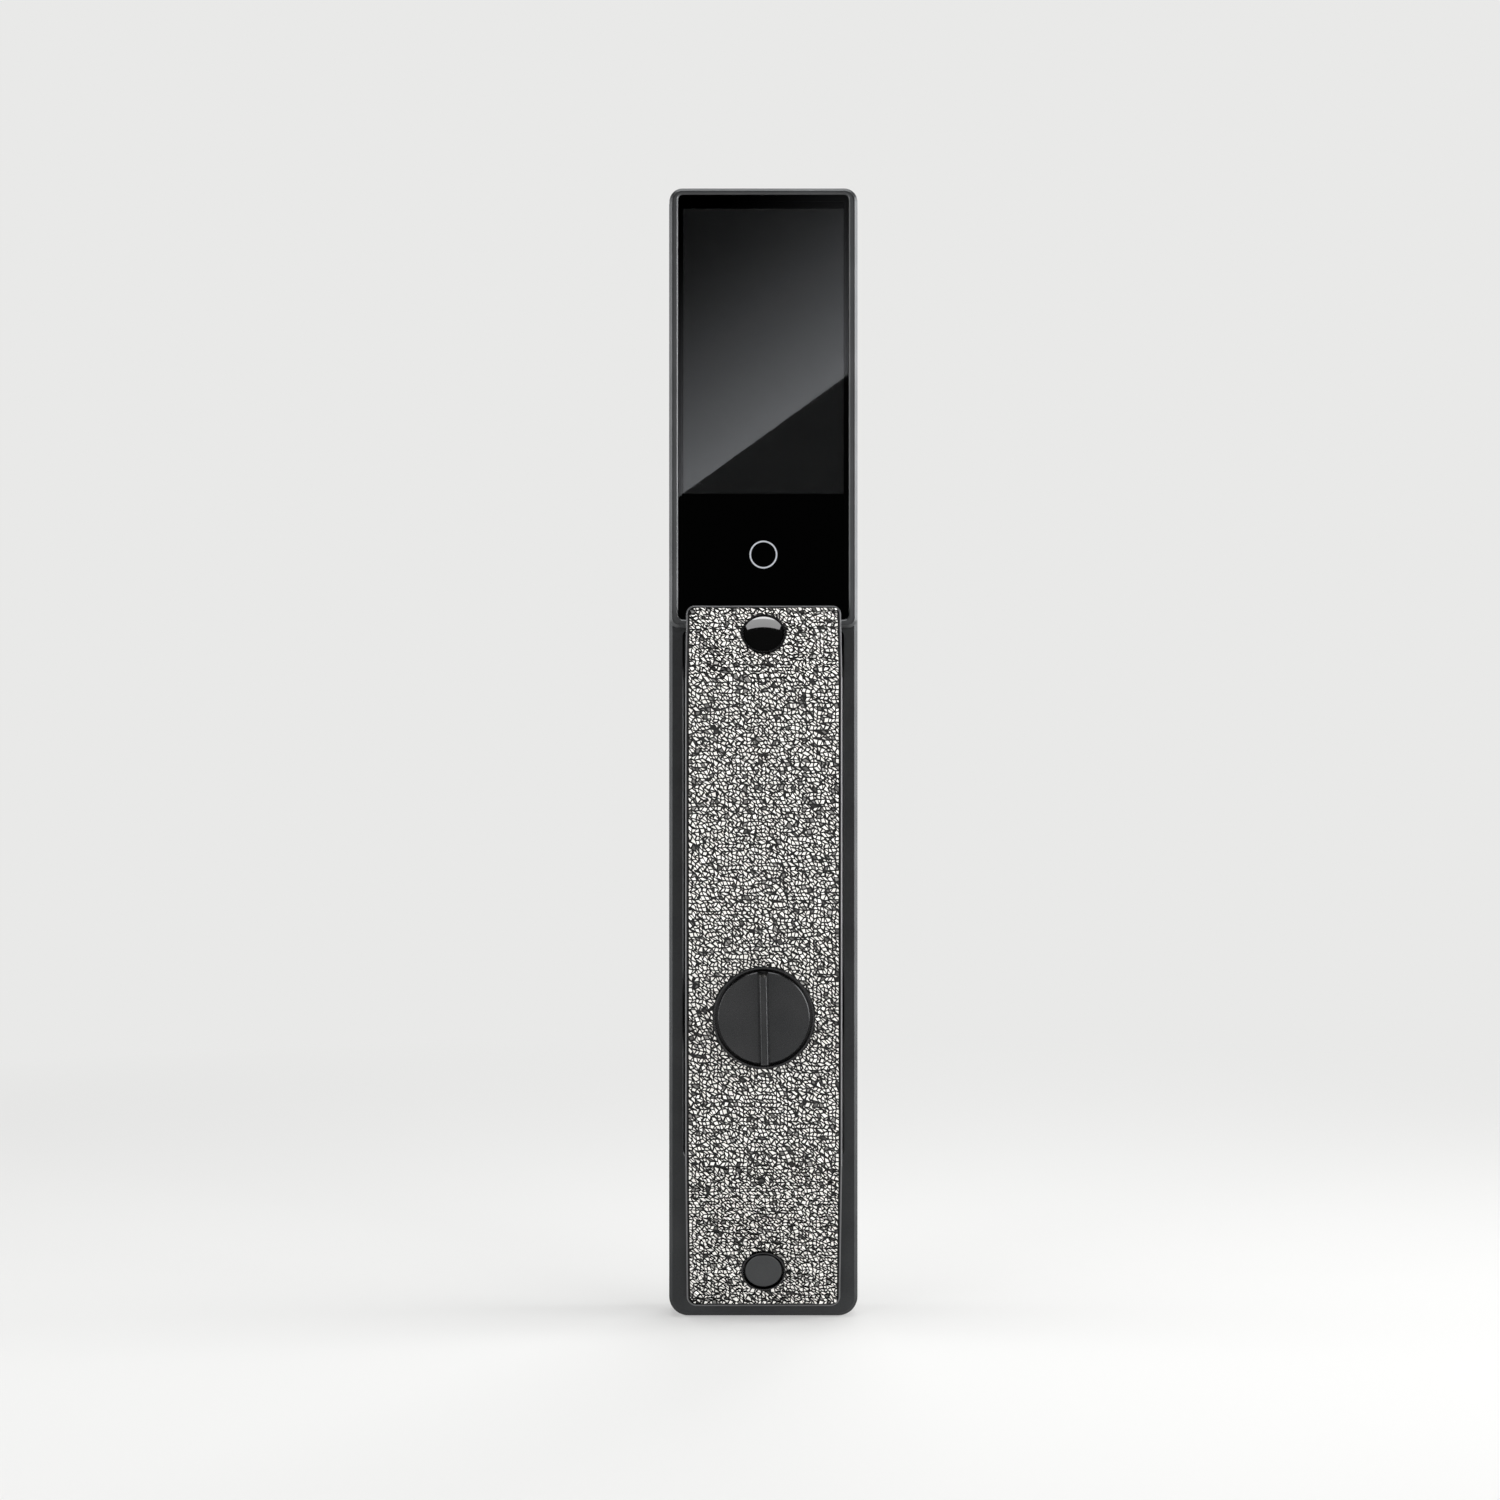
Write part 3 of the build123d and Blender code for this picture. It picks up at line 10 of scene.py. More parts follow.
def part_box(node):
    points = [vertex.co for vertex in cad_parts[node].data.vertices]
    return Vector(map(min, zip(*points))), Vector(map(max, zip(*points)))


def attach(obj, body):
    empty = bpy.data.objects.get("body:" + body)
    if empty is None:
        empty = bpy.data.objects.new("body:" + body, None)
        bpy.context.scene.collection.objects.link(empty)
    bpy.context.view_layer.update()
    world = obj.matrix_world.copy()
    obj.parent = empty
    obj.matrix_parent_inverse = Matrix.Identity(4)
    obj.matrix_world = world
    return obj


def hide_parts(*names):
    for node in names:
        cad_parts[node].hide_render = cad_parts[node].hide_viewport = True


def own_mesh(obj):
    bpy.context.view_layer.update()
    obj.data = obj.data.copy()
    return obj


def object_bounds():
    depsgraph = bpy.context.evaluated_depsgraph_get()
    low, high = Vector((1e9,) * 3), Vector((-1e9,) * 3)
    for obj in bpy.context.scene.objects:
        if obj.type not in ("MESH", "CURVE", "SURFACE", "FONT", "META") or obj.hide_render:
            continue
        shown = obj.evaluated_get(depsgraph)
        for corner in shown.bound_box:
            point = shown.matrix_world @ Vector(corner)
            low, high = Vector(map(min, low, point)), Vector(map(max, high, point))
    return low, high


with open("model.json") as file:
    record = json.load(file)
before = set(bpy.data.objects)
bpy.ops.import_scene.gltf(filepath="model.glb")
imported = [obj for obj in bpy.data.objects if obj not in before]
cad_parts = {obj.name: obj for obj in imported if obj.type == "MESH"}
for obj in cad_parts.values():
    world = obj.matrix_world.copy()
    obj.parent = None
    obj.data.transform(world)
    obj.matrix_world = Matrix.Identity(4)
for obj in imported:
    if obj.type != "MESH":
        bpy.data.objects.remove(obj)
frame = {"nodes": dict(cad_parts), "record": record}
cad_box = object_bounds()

# Indoor panel of a motorised door lock. Metres: the door's face is the plane y = 0, the panel stands
# out of it towards -Y, +Z is up the door and +X is to the right as the panel is seen from the room.

MM = 0.001
nodes = frame["nodes"]
origin = Vector()
z_axis = Vector((0, 0, 1))

# ---- camera: level with the middle of the panel, about a metre from the door

camera_place = Vector((-5.2, -1050, 1.3)) * MM
camera_data = bpy.data.cameras.new("camera")
camera_data.sensor_width = 36
camera_data.lens = 63.26
camera = bpy.data.objects.new("camera", camera_data)
camera.location = camera_place
camera.rotation_euler = (radians(90), 0, 0)
bpy.context.collection.objects.link(camera)
bpy.context.scene.camera = camera
bpy.context.scene.view_settings.view_transform = "Standard"

# ---- helpers for colours, nodes and objects


def linear(hex_code):
    """An sRGB hex colour as linear RGBA."""
    levels = [int(hex_code[i : i + 2], 16) / 255 for i in (1, 3, 5)]
    return [c / 12.92 if c <= 0.04045 else ((c + 0.055) / 1.055) ** 2.4 for c in levels] + [1.0]


def add(tree, kind, inputs=None, **settings):
    """Adds a node with its settings; an input is a plain value or another node's output."""
    made = tree.nodes.new("ShaderNode" + kind)
    for name, value in settings.items():
        setattr(made, name, value)
    for name, value in (inputs or {}).items():
        if isinstance(value, bpy.types.NodeSocket):
            tree.links.new(value, made.inputs[name])
        else:
            made.inputs[name].default_value = value
    return made


def new_material(name):
    """An empty node material and its tree."""
    material = bpy.data.materials.new(name)
    material.use_nodes = True
    material.node_tree.nodes.clear()
    return material, material.node_tree


def surface(tree, inputs):
    """Ends a material with a principled shader."""
    shader = add(tree, "BsdfPrincipled", inputs)
    add(tree, "OutputMaterial", {"Surface": shader.outputs[0]})


def object_place(tree):
    """A point's place in metres."""
    return add(tree, "TexCoord").outputs["Object"]


def noise(tree, place, size_mm, detail=2.0):
    """Noise from 0 to 1 with blotches of about size_mm."""
    made = add(tree, "TexNoise", {"Vector": place, "Scale": 1 / (size_mm * MM), "Detail": detail})
    return made.outputs["Fac"]


def blend(tree, share, shade, light_shade):
    """A mix of two hex colours."""
    colours = {"Color1": linear(shade), "Color2": linear(light_shade)}
    return add(tree, "MixRGB", {"Fac": share, **colours}).outputs[0]


def spread(tree, value, low, high, from_low=0.0, from_high=1.0):
    """Maps one range of a value onto another."""
    ranges = {"From Min": from_low, "From Max": from_high, "To Min": low, "To Max": high}
    return add(tree, "MapRange", {"Value": value, **ranges}).outputs[0]


def relief(tree, height, depth_mm, strength):
    """Normals of a surface with a fine relief."""
    made = add(tree, "Bump", {"Height": height, "Distance": depth_mm * MM, "Strength": strength})
    return made.outputs["Normal"]


def new_object(name, shape, material, sharp_from=None):
    """Turns a bmesh into an object. With an angle it is shaded smooth, but for sharper edges."""
    mesh = bpy.data.meshes.new(name)
    shape.to_mesh(mesh)
    shape.free()
    if sharp_from is not None:
        mesh.shade_smooth()
        mesh.set_sharp_from_angle(angle=sharp_from)
    mesh.materials.append(material)
    made = bpy.data.objects.new(name, mesh)
    bpy.context.collection.objects.link(made)
    return made


# ---- materials

# A wave texture of scale 1 runs through this many radians in a metre.
wave_rate = 20


def blasted_metal(name, shade, light_shade, roughness, grain_mm=0.35, depth_mm=0.02, cloud_mm=18):
    """Anodised aluminium, bead-blasted first: an even, slightly sparkling satin with no direction.
    The blasted grit is about 0.1 mm; it is drawn coarser so that it still shows."""
    material, tree = new_material(name)
    place = object_place(tree)
    grain = noise(tree, place, grain_mm)
    cloud = noise(tree, place, cloud_mm)
    mixed = add(tree, "Math", {0: grain, 1: cloud}, operation="ADD").outputs[0]
    tone = spread(tree, mixed, 0.0, 1.0, from_low=0.7, from_high=1.3)
    rough = spread(tree, grain, roughness - 0.04, roughness + 0.05, from_low=0.3, from_high=0.7)
    surface(
        tree,
        {
            "Base Color": blend(tree, tone, shade, light_shade),
            "Metallic": 1.0,
            "Roughness": rough,
            "Normal": relief(tree, grain, depth_mm, strength=0.35),
        },
    )
    return material


def drawn_metal(name, shade, light_shade, roughness, line_mm=0.3, stretch=(1, 1, 12)):
    """Bare or plated steel, brass and bronze as drawn, rolled or turned: fine lines, all one way."""
    material, tree = new_material(name)
    scale = [1 / s for s in stretch]
    along = add(tree, "Mapping", {"Vector": object_place(tree), "Scale": scale}).outputs[0]
    lines = noise(tree, along, line_mm, detail=3.0)
    surface(
        tree,
        {
            "Base Color": blend(tree, lines, shade, light_shade),
            "Metallic": 1.0,
            "Roughness": spread(tree, lines, roughness - 0.08, roughness + 0.08),
            "Normal": relief(tree, lines, depth_mm=0.01, strength=0.3),
        },
    )
    return material


def moulded(name, shade, light_shade, roughness, grain_mm=0.4, depth_mm=0.02, coat=0.0):
    """Moulded plastic, rubber, resin or paint: a spark-eroded or cast skin with a faint mottle."""
    material, tree = new_material(name)
    grain = noise(tree, object_place(tree), grain_mm, detail=3.0)
    surface(
        tree,
        {
            "Base Color": blend(tree, grain, shade, light_shade),
            "Roughness": spread(tree, grain, roughness * 0.85, roughness * 1.15),
            "IOR": 1.5,
            "Coat Weight": coat,
            "Coat Roughness": 0.05,
            "Normal": relief(tree, grain, depth_mm, strength=0.4),
        },
    )
    return material


def glass_material(smear_mm=25):
    """Clear toughened cover glass with a fingerprint coating: mirror-smooth, faintly uneven."""
    material, tree = new_material("toughened_cover_glass")
    smear = noise(tree, object_place(tree), smear_mm)
    surface(
        tree,
        {
            "Base Color": linear("#fbfdfc"),
            "Roughness": spread(tree, smear, 0.0, 0.02),
            "IOR": 1.5,
            "Transmission Weight": 1.0,
        },
    )
    return material


def painted_glow_screen(name, shade, glow, row_mm=0.25):
    """A display showing black and a white key both get a painted glow, in faint rows: on the display
    it stands in for light reflected inside it, on the key for lamp light that reaches it through the
    glass.
    A row and its gap take up 2 pi times row_mm."""
    material, tree = new_material(name)
    rows = add(
        tree,
        "TexWave",
        {"Vector": object_place(tree), "Scale": 1 / (wave_rate * row_mm * MM), "Distortion": 0.0},
        bands_direction="Z",
    )
    surface(
        tree,
        {
            "Base Color": linear(shade),
            "Roughness": 0.4,
            "Specular IOR Level": 0.1,
            "Emission Color": linear("#f7f8ff"),
            "Emission Strength": spread(tree, rows.outputs["Fac"], glow * 0.94, glow * 1.06),
        },
    )
    return material


def crystal_material(flaw_mm=0.5):
    """Crushed crystal with a silvered back, near white for most chips. A share of the chips is painted
    dark, a painted shade for chips turned away from the lamps; each chip's tilt also shades it under
    the lamps.
    """
    material, tree = new_material("silvered_crystal_chips")
    tone = add(tree, "Attribute", attribute_name="tone", attribute_type="GEOMETRY").outputs["Fac"]
    flaws = noise(tree, object_place(tree), flaw_mm)
    surface(
        tree,
        {
            "Base Color": blend(tree, tone, "#050505", "#fffdf8"),
            "Metallic": 0.1,
            "Roughness": spread(tree, flaws, 0.08, 0.3),
            "Coat Weight": 0.25,
            "Coat Roughness": 0.04,
        },
    )
    return material


def board_material(brick_mm=10):
    """Circuit board: glossy green solder mask over copper tracks, which show as lighter lines."""
    material, tree = new_material("green_circuit_board")
    turned = add(tree, "Mapping", {"Vector": object_place(tree), "Rotation": (radians(90), 0, 0)})
    tracks = add(
        tree,
        "TexBrick",
        {
            "Vector": turned.outputs[0],
            "Scale": 1 / (brick_mm * MM),
            "Mortar Size": 0.03,
            "Color1": linear("#0d3d24"),
            "Color2": linear("#10492c"),
            "Mortar": linear("#1f6b45"),
        },
    )
    surface(tree, {"Base Color": tracks.outputs["Color"], "Roughness": 0.3, "IOR": 1.55})
    return material


finishes = {
    "gasket_rubber": moulded("foam_gasket_rubber", "#141414", "#1f1f1f", 0.85, 0.6, 0.05),
    "zinc_steel": drawn_metal("zinc_plated_steel", "#8d9095", "#a9abad", 0.38),
    "housing_anodised": blasted_metal("dark_anodised_aluminium", "#3c3d3e", "#464748", 0.4),
    "frame_anodised": blasted_metal("grey_anodised_aluminium", "#515253", "#5d5e5f", 0.42, 0.3, 0.012),
    "bezel_polished": blasted_metal("polished_anodised_rim", "#6c6c6d", "#78787a", 0.42, 0.3, 0.005),
    "knob_anodised": blasted_metal("satin_anodised_knob", "#404142", "#4a4a4b", 0.27),
    "ring_dark": blasted_metal("black_anodised_ring", "#404041", "#4a4a4b", 0.25, 0.3, 0.008),
    "screw_steel": drawn_metal("black_zinc_screw_steel", "#4a4b4d", "#5a5b5d", 0.35),
    "shaft_steel": drawn_metal("turned_bare_steel", "#9a9a9c", "#b2b2b4", 0.3, 0.2, (6, 1, 6)),
    "spring_steel": drawn_metal("drawn_spring_wire", "#8f9092", "#a5a6a8", 0.28),
    "tinned_steel": drawn_metal("tin_plated_sheet", "#b4b5b6", "#c6c7c8", 0.32),
    "bushing_bronze": drawn_metal("sintered_bronze", "#8a6a3c", "#a27f4b", 0.45, 0.15, (1, 1, 1)),
    "contact_brass": drawn_metal("gold_plated_contact", "#c89b4a", "#dcb263", 0.25),
    "magnet_nickel": drawn_metal("nickel_plated_magnet", "#b0aea8", "#c4c2bc", 0.2),
    "cover_glass": glass_material(),
    "mask_ink": moulded("black_printed_mask", "#030303", "#040404", 0.6, 0.5, 0.002),
    # Painted light: the display and the key glow, in place of light reflected inside the display and
    # lamp light reaching the key through the glass.
    "display_dark": painted_glow_screen("dark_display_painted_glow", "#060606", 0.004),
    "key_light": painted_glow_screen("white_key_painted_glow", "#c8cacc", 0.3),
    "key_pad": moulded("dark_touch_electrode", "#080808", "#0b0b0b", 0.4, 0.5, 0.002),
    "crystal_inlay": moulded("black_setting_resin", "#030303", "#060606", 0.7, 0.6, 0.05),
    "button_gloss": moulded("glossy_black_lens", "#040404", "#060606", 0.06, 5.0, 0.001, coat=1.0),
    "button_matte": blasted_metal("satin_grey_cap", "#4a4b4c", "#545556", 0.36),
    "battery_wrap": moulded("battery_shrink_wrap", "#232c3d", "#2a3548", 0.35, 2.0, 0.02),
    "black_plastic": moulded("moulded_black_plastic", "#161616", "#1e1e1e", 0.55),
    "socket_plastic": moulded("natural_nylon", "#cfc9b8", "#dad5c6", 0.5),
    "circuit_board": board_material(),
    "friction_rubber": moulded("nitrile_rubber", "#101010", "#171717", 0.7),
}
for subpart in frame["record"]["subparts"]:
    slots = nodes[subpart["node"]].data.materials
    slots.clear()
    slots.append(finishes[subpart["material_slot"]])

# ---- places on the grip

cap_tolerance = 0.01 * MM


def facing(place, tilt):
    """Frame of a face of the grip: local x to the right, y up the face and z out of it."""
    up = Vector((0, sin(tilt), cos(tilt)))
    out = Vector((0, -cos(tilt), sin(tilt)))
    turn = Matrix((Vector((1, 0, 0)), up, out)).transposed().to_4x4()
    return Matrix.Translation(place) @ turn


def cap_middle(node, tilt):
    """The middle of a button's outermost point or flat, on its axis."""
    out = facing(origin, tilt).col[2].xyz
    points = [v.co for v in nodes[node].data.vertices]
    reach = max(p.dot(out) for p in points)
    flat = [p for p in points if p.dot(out) > reach - cap_tolerance]
    return Vector([(min(p[i] for p in flat) + max(p[i] for p in flat)) / 2 for i in range(3)])


upper_tilt = radians(28)
lower_tilt = radians(-22)
rim_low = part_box("inlay_frame")[0]
middle_low, middle_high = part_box("middle_inlay")
upper_low, upper_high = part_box("upper_inlay")
lower_low, lower_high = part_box("lower_inlay")
knob_low, knob_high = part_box("knob_ring")
open_centre = cap_middle("open_button", upper_tilt)
lock_centre = cap_middle("lock_button", lower_tilt)

# ---- crystal chips, set in the resin of the three inlays

crystal = crystal_material()
chip_seed = 11
edge_gap = 0.4 * MM
open_ring_r = 8.4 * MM
lock_ring_r = 8.5 * MM
upper_corner_r = 2.4 * MM
lower_corner_r = 3.2 * MM

# The flat field of cells. Shares are of the pitch, or of all cells.
chip_pitch = 1.4 * MM
chip_gap = 0.43 * MM
smallest_chip = 0.1 * MM
row_offset_share = 0.25
jitter_x_share = 0.3
jitter_y_share = 0.38
joined_share = 0.85
snap_share = 0.3
snap_margin = 1.001

# A chip: tones run from 0, black, to 1, white, and a lean is a slope.
chip_sunk = 0.05 * MM
chip_clearance = 0.02 * MM
chip_rise = (0.66, 0.86)
chip_lean = 0.25
chip_taper = 0.94
table_inset = 0.08 * MM
table_crown = 0.06 * MM
# A share of the chips gets a dark tone: painted shade, for chips turned away from the lamps.
painted_shade_share = 0.12
painted_shade_tones = (0.02, 0.3)
light_tones = (0.88, 1.0)
side_tone = 0.0

bed_y = middle_low.y
bed_depth = bed_y - rim_low.y
chip_height = bed_depth - chip_clearance
low_crease = (middle_low.z + lower_high.z) / 2 - bed_depth * tan(lower_tilt / 2)
high_crease = (middle_high.z + upper_low.z) / 2 - bed_depth * tan(upper_tilt / 2)
middle_l = high_crease - low_crease
lower_l = (low_crease - lower_low.z) / cos(lower_tilt) - edge_gap
upper_l = (upper_high.z - high_crease) / cos(upper_tilt) - edge_gap
lower_bed = facing(Vector((0, bed_y, low_crease)), lower_tilt)
middle_bed = facing(Vector((0, bed_y, low_crease)), 0)
upper_bed = facing(Vector((0, bed_y, high_crease)), upper_tilt)


def folded(spot):
    """Folds a point of the flat field onto the bent bed; y is the way up from the lower crease."""
    if spot.y < 0:
        return lower_bed @ spot
    if spot.y < middle_l:
        return middle_bed @ spot
    return upper_bed @ (spot - Vector((0, middle_l, 0)))


def chip_cells(half_w, low_y, high_y, draw):
    """A flat field of broken cells: a jittered brick grid in triangles, most of them joined again."""
    field = bmesh.new()
    field_l = high_y - low_y
    columns, rows = round(2 * half_w / chip_pitch), round(field_l / chip_pitch)
    bmesh.ops.create_grid(field, x_segments=columns, y_segments=rows, size=0.5)
    bmesh.ops.translate(field, verts=field.verts, vec=(0, 0.5, 0))
    for v in field.verts:
        row, column = round(v.co.y * rows), round((v.co.x + 0.5) * columns)
        v.co.x *= 2 * half_w
        v.co.y = low_y + v.co.y * field_l
        if column not in (0, columns):
            row_offset = row_offset_share * (row % 2 * 2 - 1)
            v.co.x += chip_pitch * (row_offset + draw.uniform(-jitter_x_share, jitter_x_share))
        if row not in (0, rows):
            v.co.y += chip_pitch * draw.uniform(-jitter_y_share, jitter_y_share)
    bmesh.ops.triangulate(field, faces=field.faces, quad_method="ALTERNATE")
    joined, used = [], set()
    edges = [e for e in field.edges if len(e.link_faces) == 2]
    draw.shuffle(edges)
    for edge in edges:
        pair = {f.index for f in edge.link_faces}
        if not pair & used and draw.random() < joined_share:
            used |= pair
            joined.append(edge)
    bmesh.ops.dissolve_edges(field, edges=joined, use_verts=False)
    return field


def keep_clear(field, centre_y, radius):
    """Clears a round place for a button or the knob and draws the cells round it onto its rim."""
    centre = Vector((0, centre_y, 0))
    for v in field.verts:
        away = v.co - centre
        if away.length < radius + snap_share * chip_pitch:
            v.co = centre + away.normalized() * radius
    within = radius * snap_margin
    lost = [f for f in field.faces if all((v.co - centre).length < within for v in f.verts)]
    bmesh.ops.delete(field, geom=lost, context="FACES")


def round_corners(field, half_w, edge_y, radius, side):
    """Drops the cells outside the inlay's rounded corners, at the end where y is edge_y."""
    lost = []
    for f in field.faces:
        spot = f.calc_center_median()
        over_x, over_y = abs(spot.x) - (half_w - radius), side * (spot.y - edge_y) + radius
        if over_x > 0 and over_y > 0 and hypot(over_x, over_y) > radius:
            lost.append(f)
    bmesh.ops.delete(field, geom=lost, context="FACES")


def shrink(face, by):
    """Draws a loose face's sides in by a distance; False if too little of it is left."""
    middle = face.calc_center_median()
    inside_r = 2 * face.calc_area() / face.calc_perimeter()
    left = inside_r - by
    if left < smallest_chip:
        return False
    for v in face.verts:
        v.co = middle + (v.co - middle) * (left / inside_r)
    return True


def shape_chip(top, draw):
    """Sets a chip's top at its own height, tilts it and makes it narrower than the foot."""
    middle = top.calc_center_median()
    lean_x, lean_y = draw.gauss(0, chip_lean), draw.gauss(0, chip_lean)
    top_h = chip_height * draw.uniform(*chip_rise)
    for v in top.verts:
        reach = v.co - middle
        rise = lean_x * reach.x + lean_y * reach.y
        v.co = middle + reach * chip_taper
        v.co.z = min(top_h + rise, chip_height)


def chips(name, cells, low_y, high_y, draw):
    """Stands a closed, tapered and tilted chip with a cut table on each cell between two places."""
    field = cells.copy()
    away = [f for f in field.faces if not low_y <= f.calc_center_median().y < high_y]
    bmesh.ops.delete(field, geom=away, context="FACES")
    bmesh.ops.split_edges(field, edges=field.edges)
    slivers = [f for f in field.faces if not shrink(f, chip_gap / 2)]
    bmesh.ops.delete(field, geom=slivers, context="FACES")
    tone = field.faces.layers.float.new("tone")
    for f in field.faces:
        # Painted shade: a few chips get a dark tone, the rest the near white of their silvered backs.
        f[tone] = draw.uniform(*(painted_shade_tones if draw.random() < painted_shade_share else light_tones))
    feet = field.faces[:]
    grown = bmesh.ops.extrude_face_region(field, geom=feet, use_keep_orig=True)
    bmesh.ops.reverse_faces(field, faces=feet)
    tops = [g for g in grown["geom"] if isinstance(g, bmesh.types.BMFace)]
    caps = set(feet) | set(tops)
    for f in field.faces:
        if f not in caps:
            f[tone] = side_tone
    for f in feet:
        for v in f.verts:
            v.co.z = -chip_sunk
    for f in tops:
        shape_chip(f, draw)
    bmesh.ops.inset_individual(
        field, faces=tops, thickness=table_inset, depth=0.0, use_even_offset=False
    )
    for f in tops:
        for v in f.verts:
            v.co.z = min(v.co.z + table_crown, chip_height)
    for v in field.verts:
        v.co = folded(v.co)
    bmesh.ops.recalc_face_normals(field, faces=field.faces)
    piece = new_object(name, field, crystal)
    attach(piece, "panel")


def lay_chips():
    """The chips run on over both creases; they are kept as four pieces."""
    draw = random.Random(chip_seed)
    half_w = middle_high.x - edge_gap
    cells = chip_cells(half_w, -lower_l, middle_l + upper_l, draw)
    keep_clear(cells, (knob_low.z + knob_high.z) / 2 - low_crease, knob_high.x)
    keep_clear(cells, middle_l + (upper_bed.inverted() @ open_centre).y, open_ring_r)
    keep_clear(cells, (lower_bed.inverted() @ lock_centre).y, lock_ring_r)
    round_corners(cells, half_w, middle_l + upper_l, upper_corner_r, 1)
    round_corners(cells, half_w, -lower_l, lower_corner_r, -1)
    ends = (-lower_l - chip_pitch, 0, middle_l / 2, middle_l, middle_l + upper_l + chip_pitch)
    names = ("lower", "middle_lower", "middle_upper", "upper")
    for name, low_y, high_y in zip(names, ends, ends[1:]):
        chips("crystal_chips_" + name, cells, low_y, high_y, draw)
    cells.free()


lay_chips()

# ---- the open button's lens

lens_r = 7.6 * MM
lens_dome = 1.1 * MM
lens_edge_t = 2.2 * MM
stem_r = 2.2 * MM
stem_l = 9.0 * MM
clip_groove_r = 1.8 * MM
clip_groove_from = 7.4 * MM
clip_groove_to = 7.9 * MM
dome_steps = 16
lens_steps = 96
weld = 0.001 * MM


def open_lens():
    """Polished cap of the open button, turned about its axis: shallow dome, edge and stem."""
    sphere_r = (lens_r**2 + lens_dome**2) / (2 * lens_dome)
    rim_angle = asin(lens_r / sphere_r)
    arc = [rim_angle * i / dome_steps for i in range(dome_steps + 1)]
    profile = [(sphere_r * sin(a), sphere_r * (cos(a) - 1)) for a in arc]
    edge_low = -lens_dome - lens_edge_t
    profile += [(lens_r, edge_low), (stem_r, edge_low), (stem_r, -clip_groove_from)]
    profile += [(clip_groove_r, -clip_groove_from), (clip_groove_r, -clip_groove_to)]
    profile += [(stem_r, -clip_groove_to), (stem_r, -stem_l), (0, -stem_l)]
    lens = bmesh.new()
    points = [lens.verts.new((r, 0, h)) for r, h in profile]
    line = [lens.edges.new(pair) for pair in zip(points, points[1:])]
    bmesh.ops.spin(
        lens,
        geom=points + line,
        cent=origin,
        axis=z_axis,
        dvec=origin,
        angle=radians(360),
        steps=lens_steps,
        use_merge=True,
    )
    bmesh.ops.remove_doubles(lens, verts=lens.verts, dist=weld)
    bmesh.ops.recalc_face_normals(lens, faces=lens.faces)
    bmesh.ops.transform(lens, matrix=facing(open_centre, upper_tilt), verts=lens.verts)
    piece = new_object("open_lens", lens, finishes["button_gloss"], sharp_from=radians(30))
    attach(piece, "open_button")
    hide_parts("open_button")


open_lens()

# ---- the buttons' springs

spring_r = 3.3 * MM
spring_wire_r = 0.25 * MM
spring_turns = 3
steps_per_turn = 24
wire_sides = 8


def button_spring(button, centre, tilt):
    """Coil spring between a button's cap and its cup."""
    node = button + "_spring"
    place = facing(centre, tilt)
    heights = [(place.inverted() @ v.co).z for v in nodes[node].data.vertices]
    foot = min(heights)
    free_l = max(heights) - foot
    steps = spring_turns * steps_per_turn
    climb = (free_l - 2 * spring_wire_r) / steps
    coil = bmesh.new()
    bmesh.ops.create_circle(coil, segments=wire_sides, radius=spring_wire_r)
    on_edge = Matrix.Rotation(radians(90), 3, "X")
    bmesh.ops.rotate(coil, verts=coil.verts, cent=origin, matrix=on_edge)
    bmesh.ops.translate(coil, verts=coil.verts, vec=(spring_r, 0, foot + spring_wire_r))
    bmesh.ops.spin(
        coil,
        geom=coil.verts[:] + coil.edges[:],
        cent=origin,
        axis=z_axis,
        dvec=climb * z_axis,
        angle=radians(360 * spring_turns),
        steps=steps,
    )
    bmesh.ops.holes_fill(coil, edges=[e for e in coil.edges if e.is_boundary], sides=0)
    bmesh.ops.recalc_face_normals(coil, faces=coil.faces)
    bmesh.ops.transform(coil, matrix=place, verts=coil.verts)
    piece = new_object(button + "_coil", coil, finishes["spring_steel"], sharp_from=radians(60))
    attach(piece, "panel")
    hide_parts(node)
    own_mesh(piece)


button_spring("open_button", open_centre, upper_tilt)
button_spring("lock_button", lock_centre, lower_tilt)

# ---- stage: pale floor, pale surroundings, soft lights

pale = "#e9e9e8"
floor_z = cad_box[0].z - 0.5 * MM
floor_half_w = 15
fade_start, fade_end = 0.2, 1.0
least_glow = 0.45
studio_level = 0.02

# The sheen in the screen: its heights above the glass's lower edge, and how it falls off upwards.
sheen_left_h = 47.4 * MM
sheen_right_h = 95 * MM
sheen_fade_l = 205 * MM
sheen_strength = 1.46
sheen_falloff = 2.0
card_spare = 12 * MM


def stage_floor():
    """Wide pale floor that fades into the pale surroundings with distance."""
    sheet = bmesh.new()
    bmesh.ops.create_grid(sheet, x_segments=1, y_segments=1, size=floor_half_w)
    bmesh.ops.translate(sheet, verts=sheet.verts, vec=(0, 0, floor_z))
    material, tree = new_material("pale_paper")
    far = add(tree, "VectorMath", {0: object_place(tree)}, operation="LENGTH").outputs["Value"]
    fade = spread(tree, far, least_glow, 1.0, from_low=fade_start, from_high=fade_end)
    paper = add(tree, "BsdfDiffuse", {"Color": linear(pale)})
    glow = add(tree, "Emission", {"Color": linear(pale), "Strength": 1.0})
    mixed = add(tree, "MixShader", {0: fade, 1: paper.outputs[0], 2: glow.outputs[0]})
    add(tree, "OutputMaterial", {"Surface": mixed.outputs[0]})
    floor = new_object("floor", sheet, material)


def softbox(name, place, size, power, target=(0, -0.03, 0)):
    """A rectangular soft light that faces the panel; its power is in watts."""
    data = bpy.data.lights.new(name, "AREA")
    data.shape = "RECTANGLE"
    data.size, data.size_y = size
    data.energy = power
    light = bpy.data.objects.new(name, data)
    light.location = place
    light.rotation_euler = (Vector(target) - Vector(place)).to_track_quat("-Z", "Y").to_euler()
    bpy.context.collection.objects.link(light)


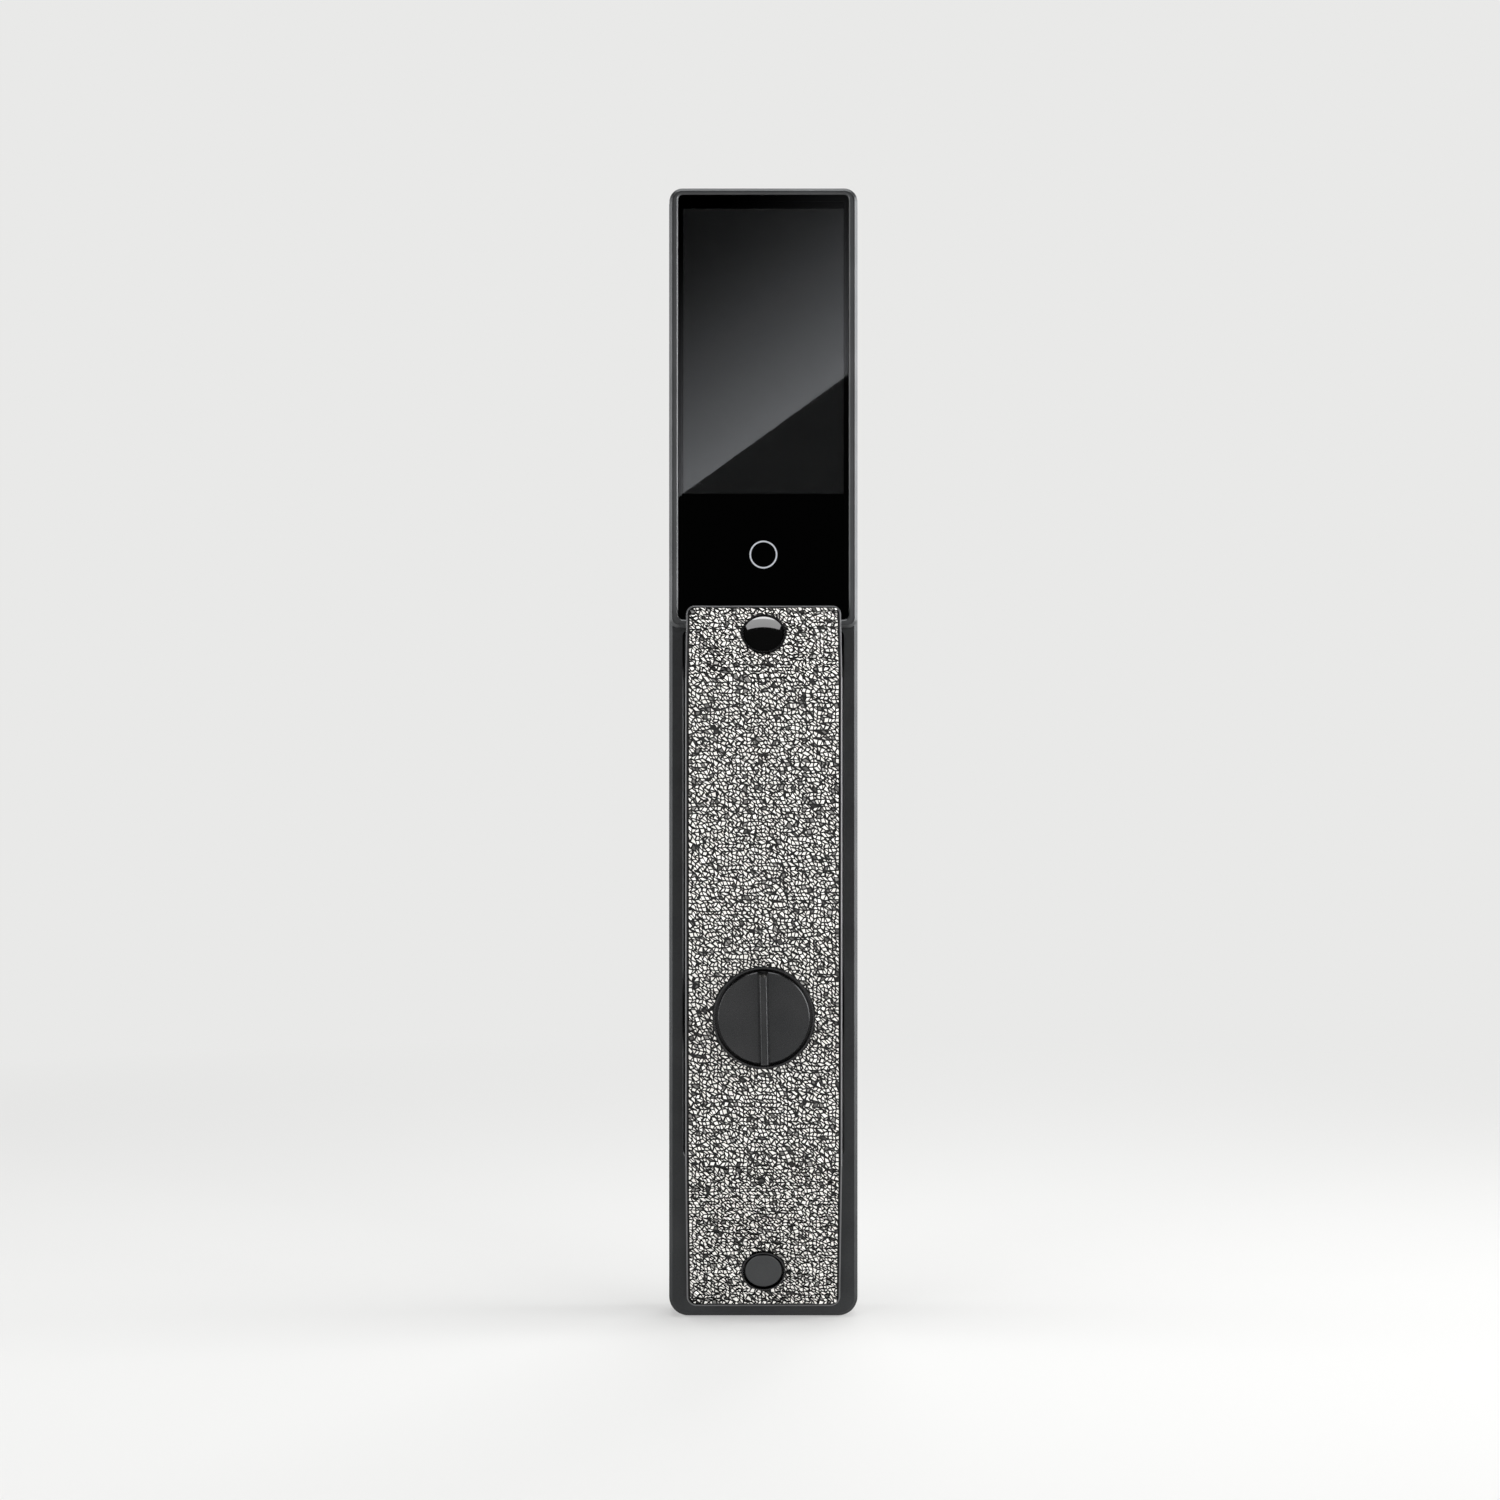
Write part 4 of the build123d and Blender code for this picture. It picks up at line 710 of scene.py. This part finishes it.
def surroundings():
    """The camera sees a pale backdrop; the panel itself sees a nearly dark studio."""
    world = bpy.data.worlds.new("studio")
    world.use_nodes = True
    tree = world.node_tree
    tree.nodes.clear()
    seen = add(tree, "LightPath").outputs["Is Camera Ray"]
    dim = add(tree, "Background", {"Color": linear("#ffffff"), "Strength": studio_level})
    bright = add(tree, "Background", {"Color": linear(pale), "Strength": 1.0})
    mixed = add(tree, "MixShader", {0: seen, 1: dim.outputs[0], 2: bright.outputs[0]})
    add(tree, "OutputWorld", {"Surface": mixed.outputs[0]})
    bpy.context.scene.world = world


def mirrored(x, z):
    """Where a point of the glass is mirrored onto the camera's plane: twice as far from its axis."""
    return Vector((2 * x - camera_place.x, camera_place.y, 2 * z - camera_place.z))


def card_material(across, edge_level):
    """Glow that is full at the card's slanting lower edge and falls off upwards."""
    material, tree = new_material("card_glow")
    height = add(tree, "VectorMath", {0: object_place(tree), 1: across}, operation="DOT_PRODUCT")
    fade_to = edge_level + sheen_fade_l * across.z
    fade = spread(tree, height.outputs["Value"], 1.0, 0.0, from_low=edge_level, from_high=fade_to)
    curve = add(tree, "Math", {0: fade, 1: sheen_falloff}, operation="POWER")
    glow = add(tree, "Math", {0: curve.outputs[0], 1: sheen_strength}, operation="MULTIPLY")
    light = add(tree, "Emission", {"Color": linear("#f7f9ff"), "Strength": glow.outputs[0]})
    add(tree, "OutputMaterial", {"Surface": light.outputs[0]})
    return material


def reflector_card():
    """A lit card above the camera; its slanting lower edge ends the soft sheen in the screen."""
    glass_low, glass_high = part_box("cover_glass")
    left, right = glass_low.x, glass_high.x
    left_z, right_z = glass_low.z + sheen_left_h, glass_low.z + sheen_right_h
    slope = (right_z - left_z) / (right - left)
    corners = [
        mirrored(left - card_spare, left_z - card_spare * slope),
        mirrored(right + card_spare, right_z + card_spare * slope),
        mirrored(right + card_spare, glass_high.z + card_spare),
        mirrored(left - card_spare, glass_high.z + card_spare),
    ]
    sheet = bmesh.new()
    sheet.faces.new([sheet.verts.new(c) for c in corners])
    across = Vector((-slope, 0, 1)).normalized()
    card = new_object("reflector_card", sheet, card_material(across, corners[0].dot(across)))
    card.visible_camera = False
    card.visible_diffuse = False


stage_floor()
surroundings()
reflector_card()
softbox("key_right", (0.95, -0.35, 0.15), (0.5, 1.1), 7.5)
softbox("fill_left", (-0.95, -0.45, 0.1), (0.4, 1.0), 3.4)
softbox("front_right", (0.75, -1.0, 0.1), (0.5, 1.1), 7.8)
softbox("front_left", (-0.75, -1.0, 0.1), (0.45, 1.0), 5.6)
softbox("top", (0.0, -0.2, 1.1), (0.9, 0.5), 4.5)
softbox("edge_right", (0.9, 0.0, 0.1), (0.2, 1.1), 6.5)
softbox("edge_top", (0.0, 0.0, 0.95), (0.9, 0.2), 2.5)
softbox("edge_left", (-0.9, 0.0, 0.1), (0.2, 1.1), 3.0)
softbox("back", (0.3, 1.4, 0.8), (1.0, 1.0), 14.0)
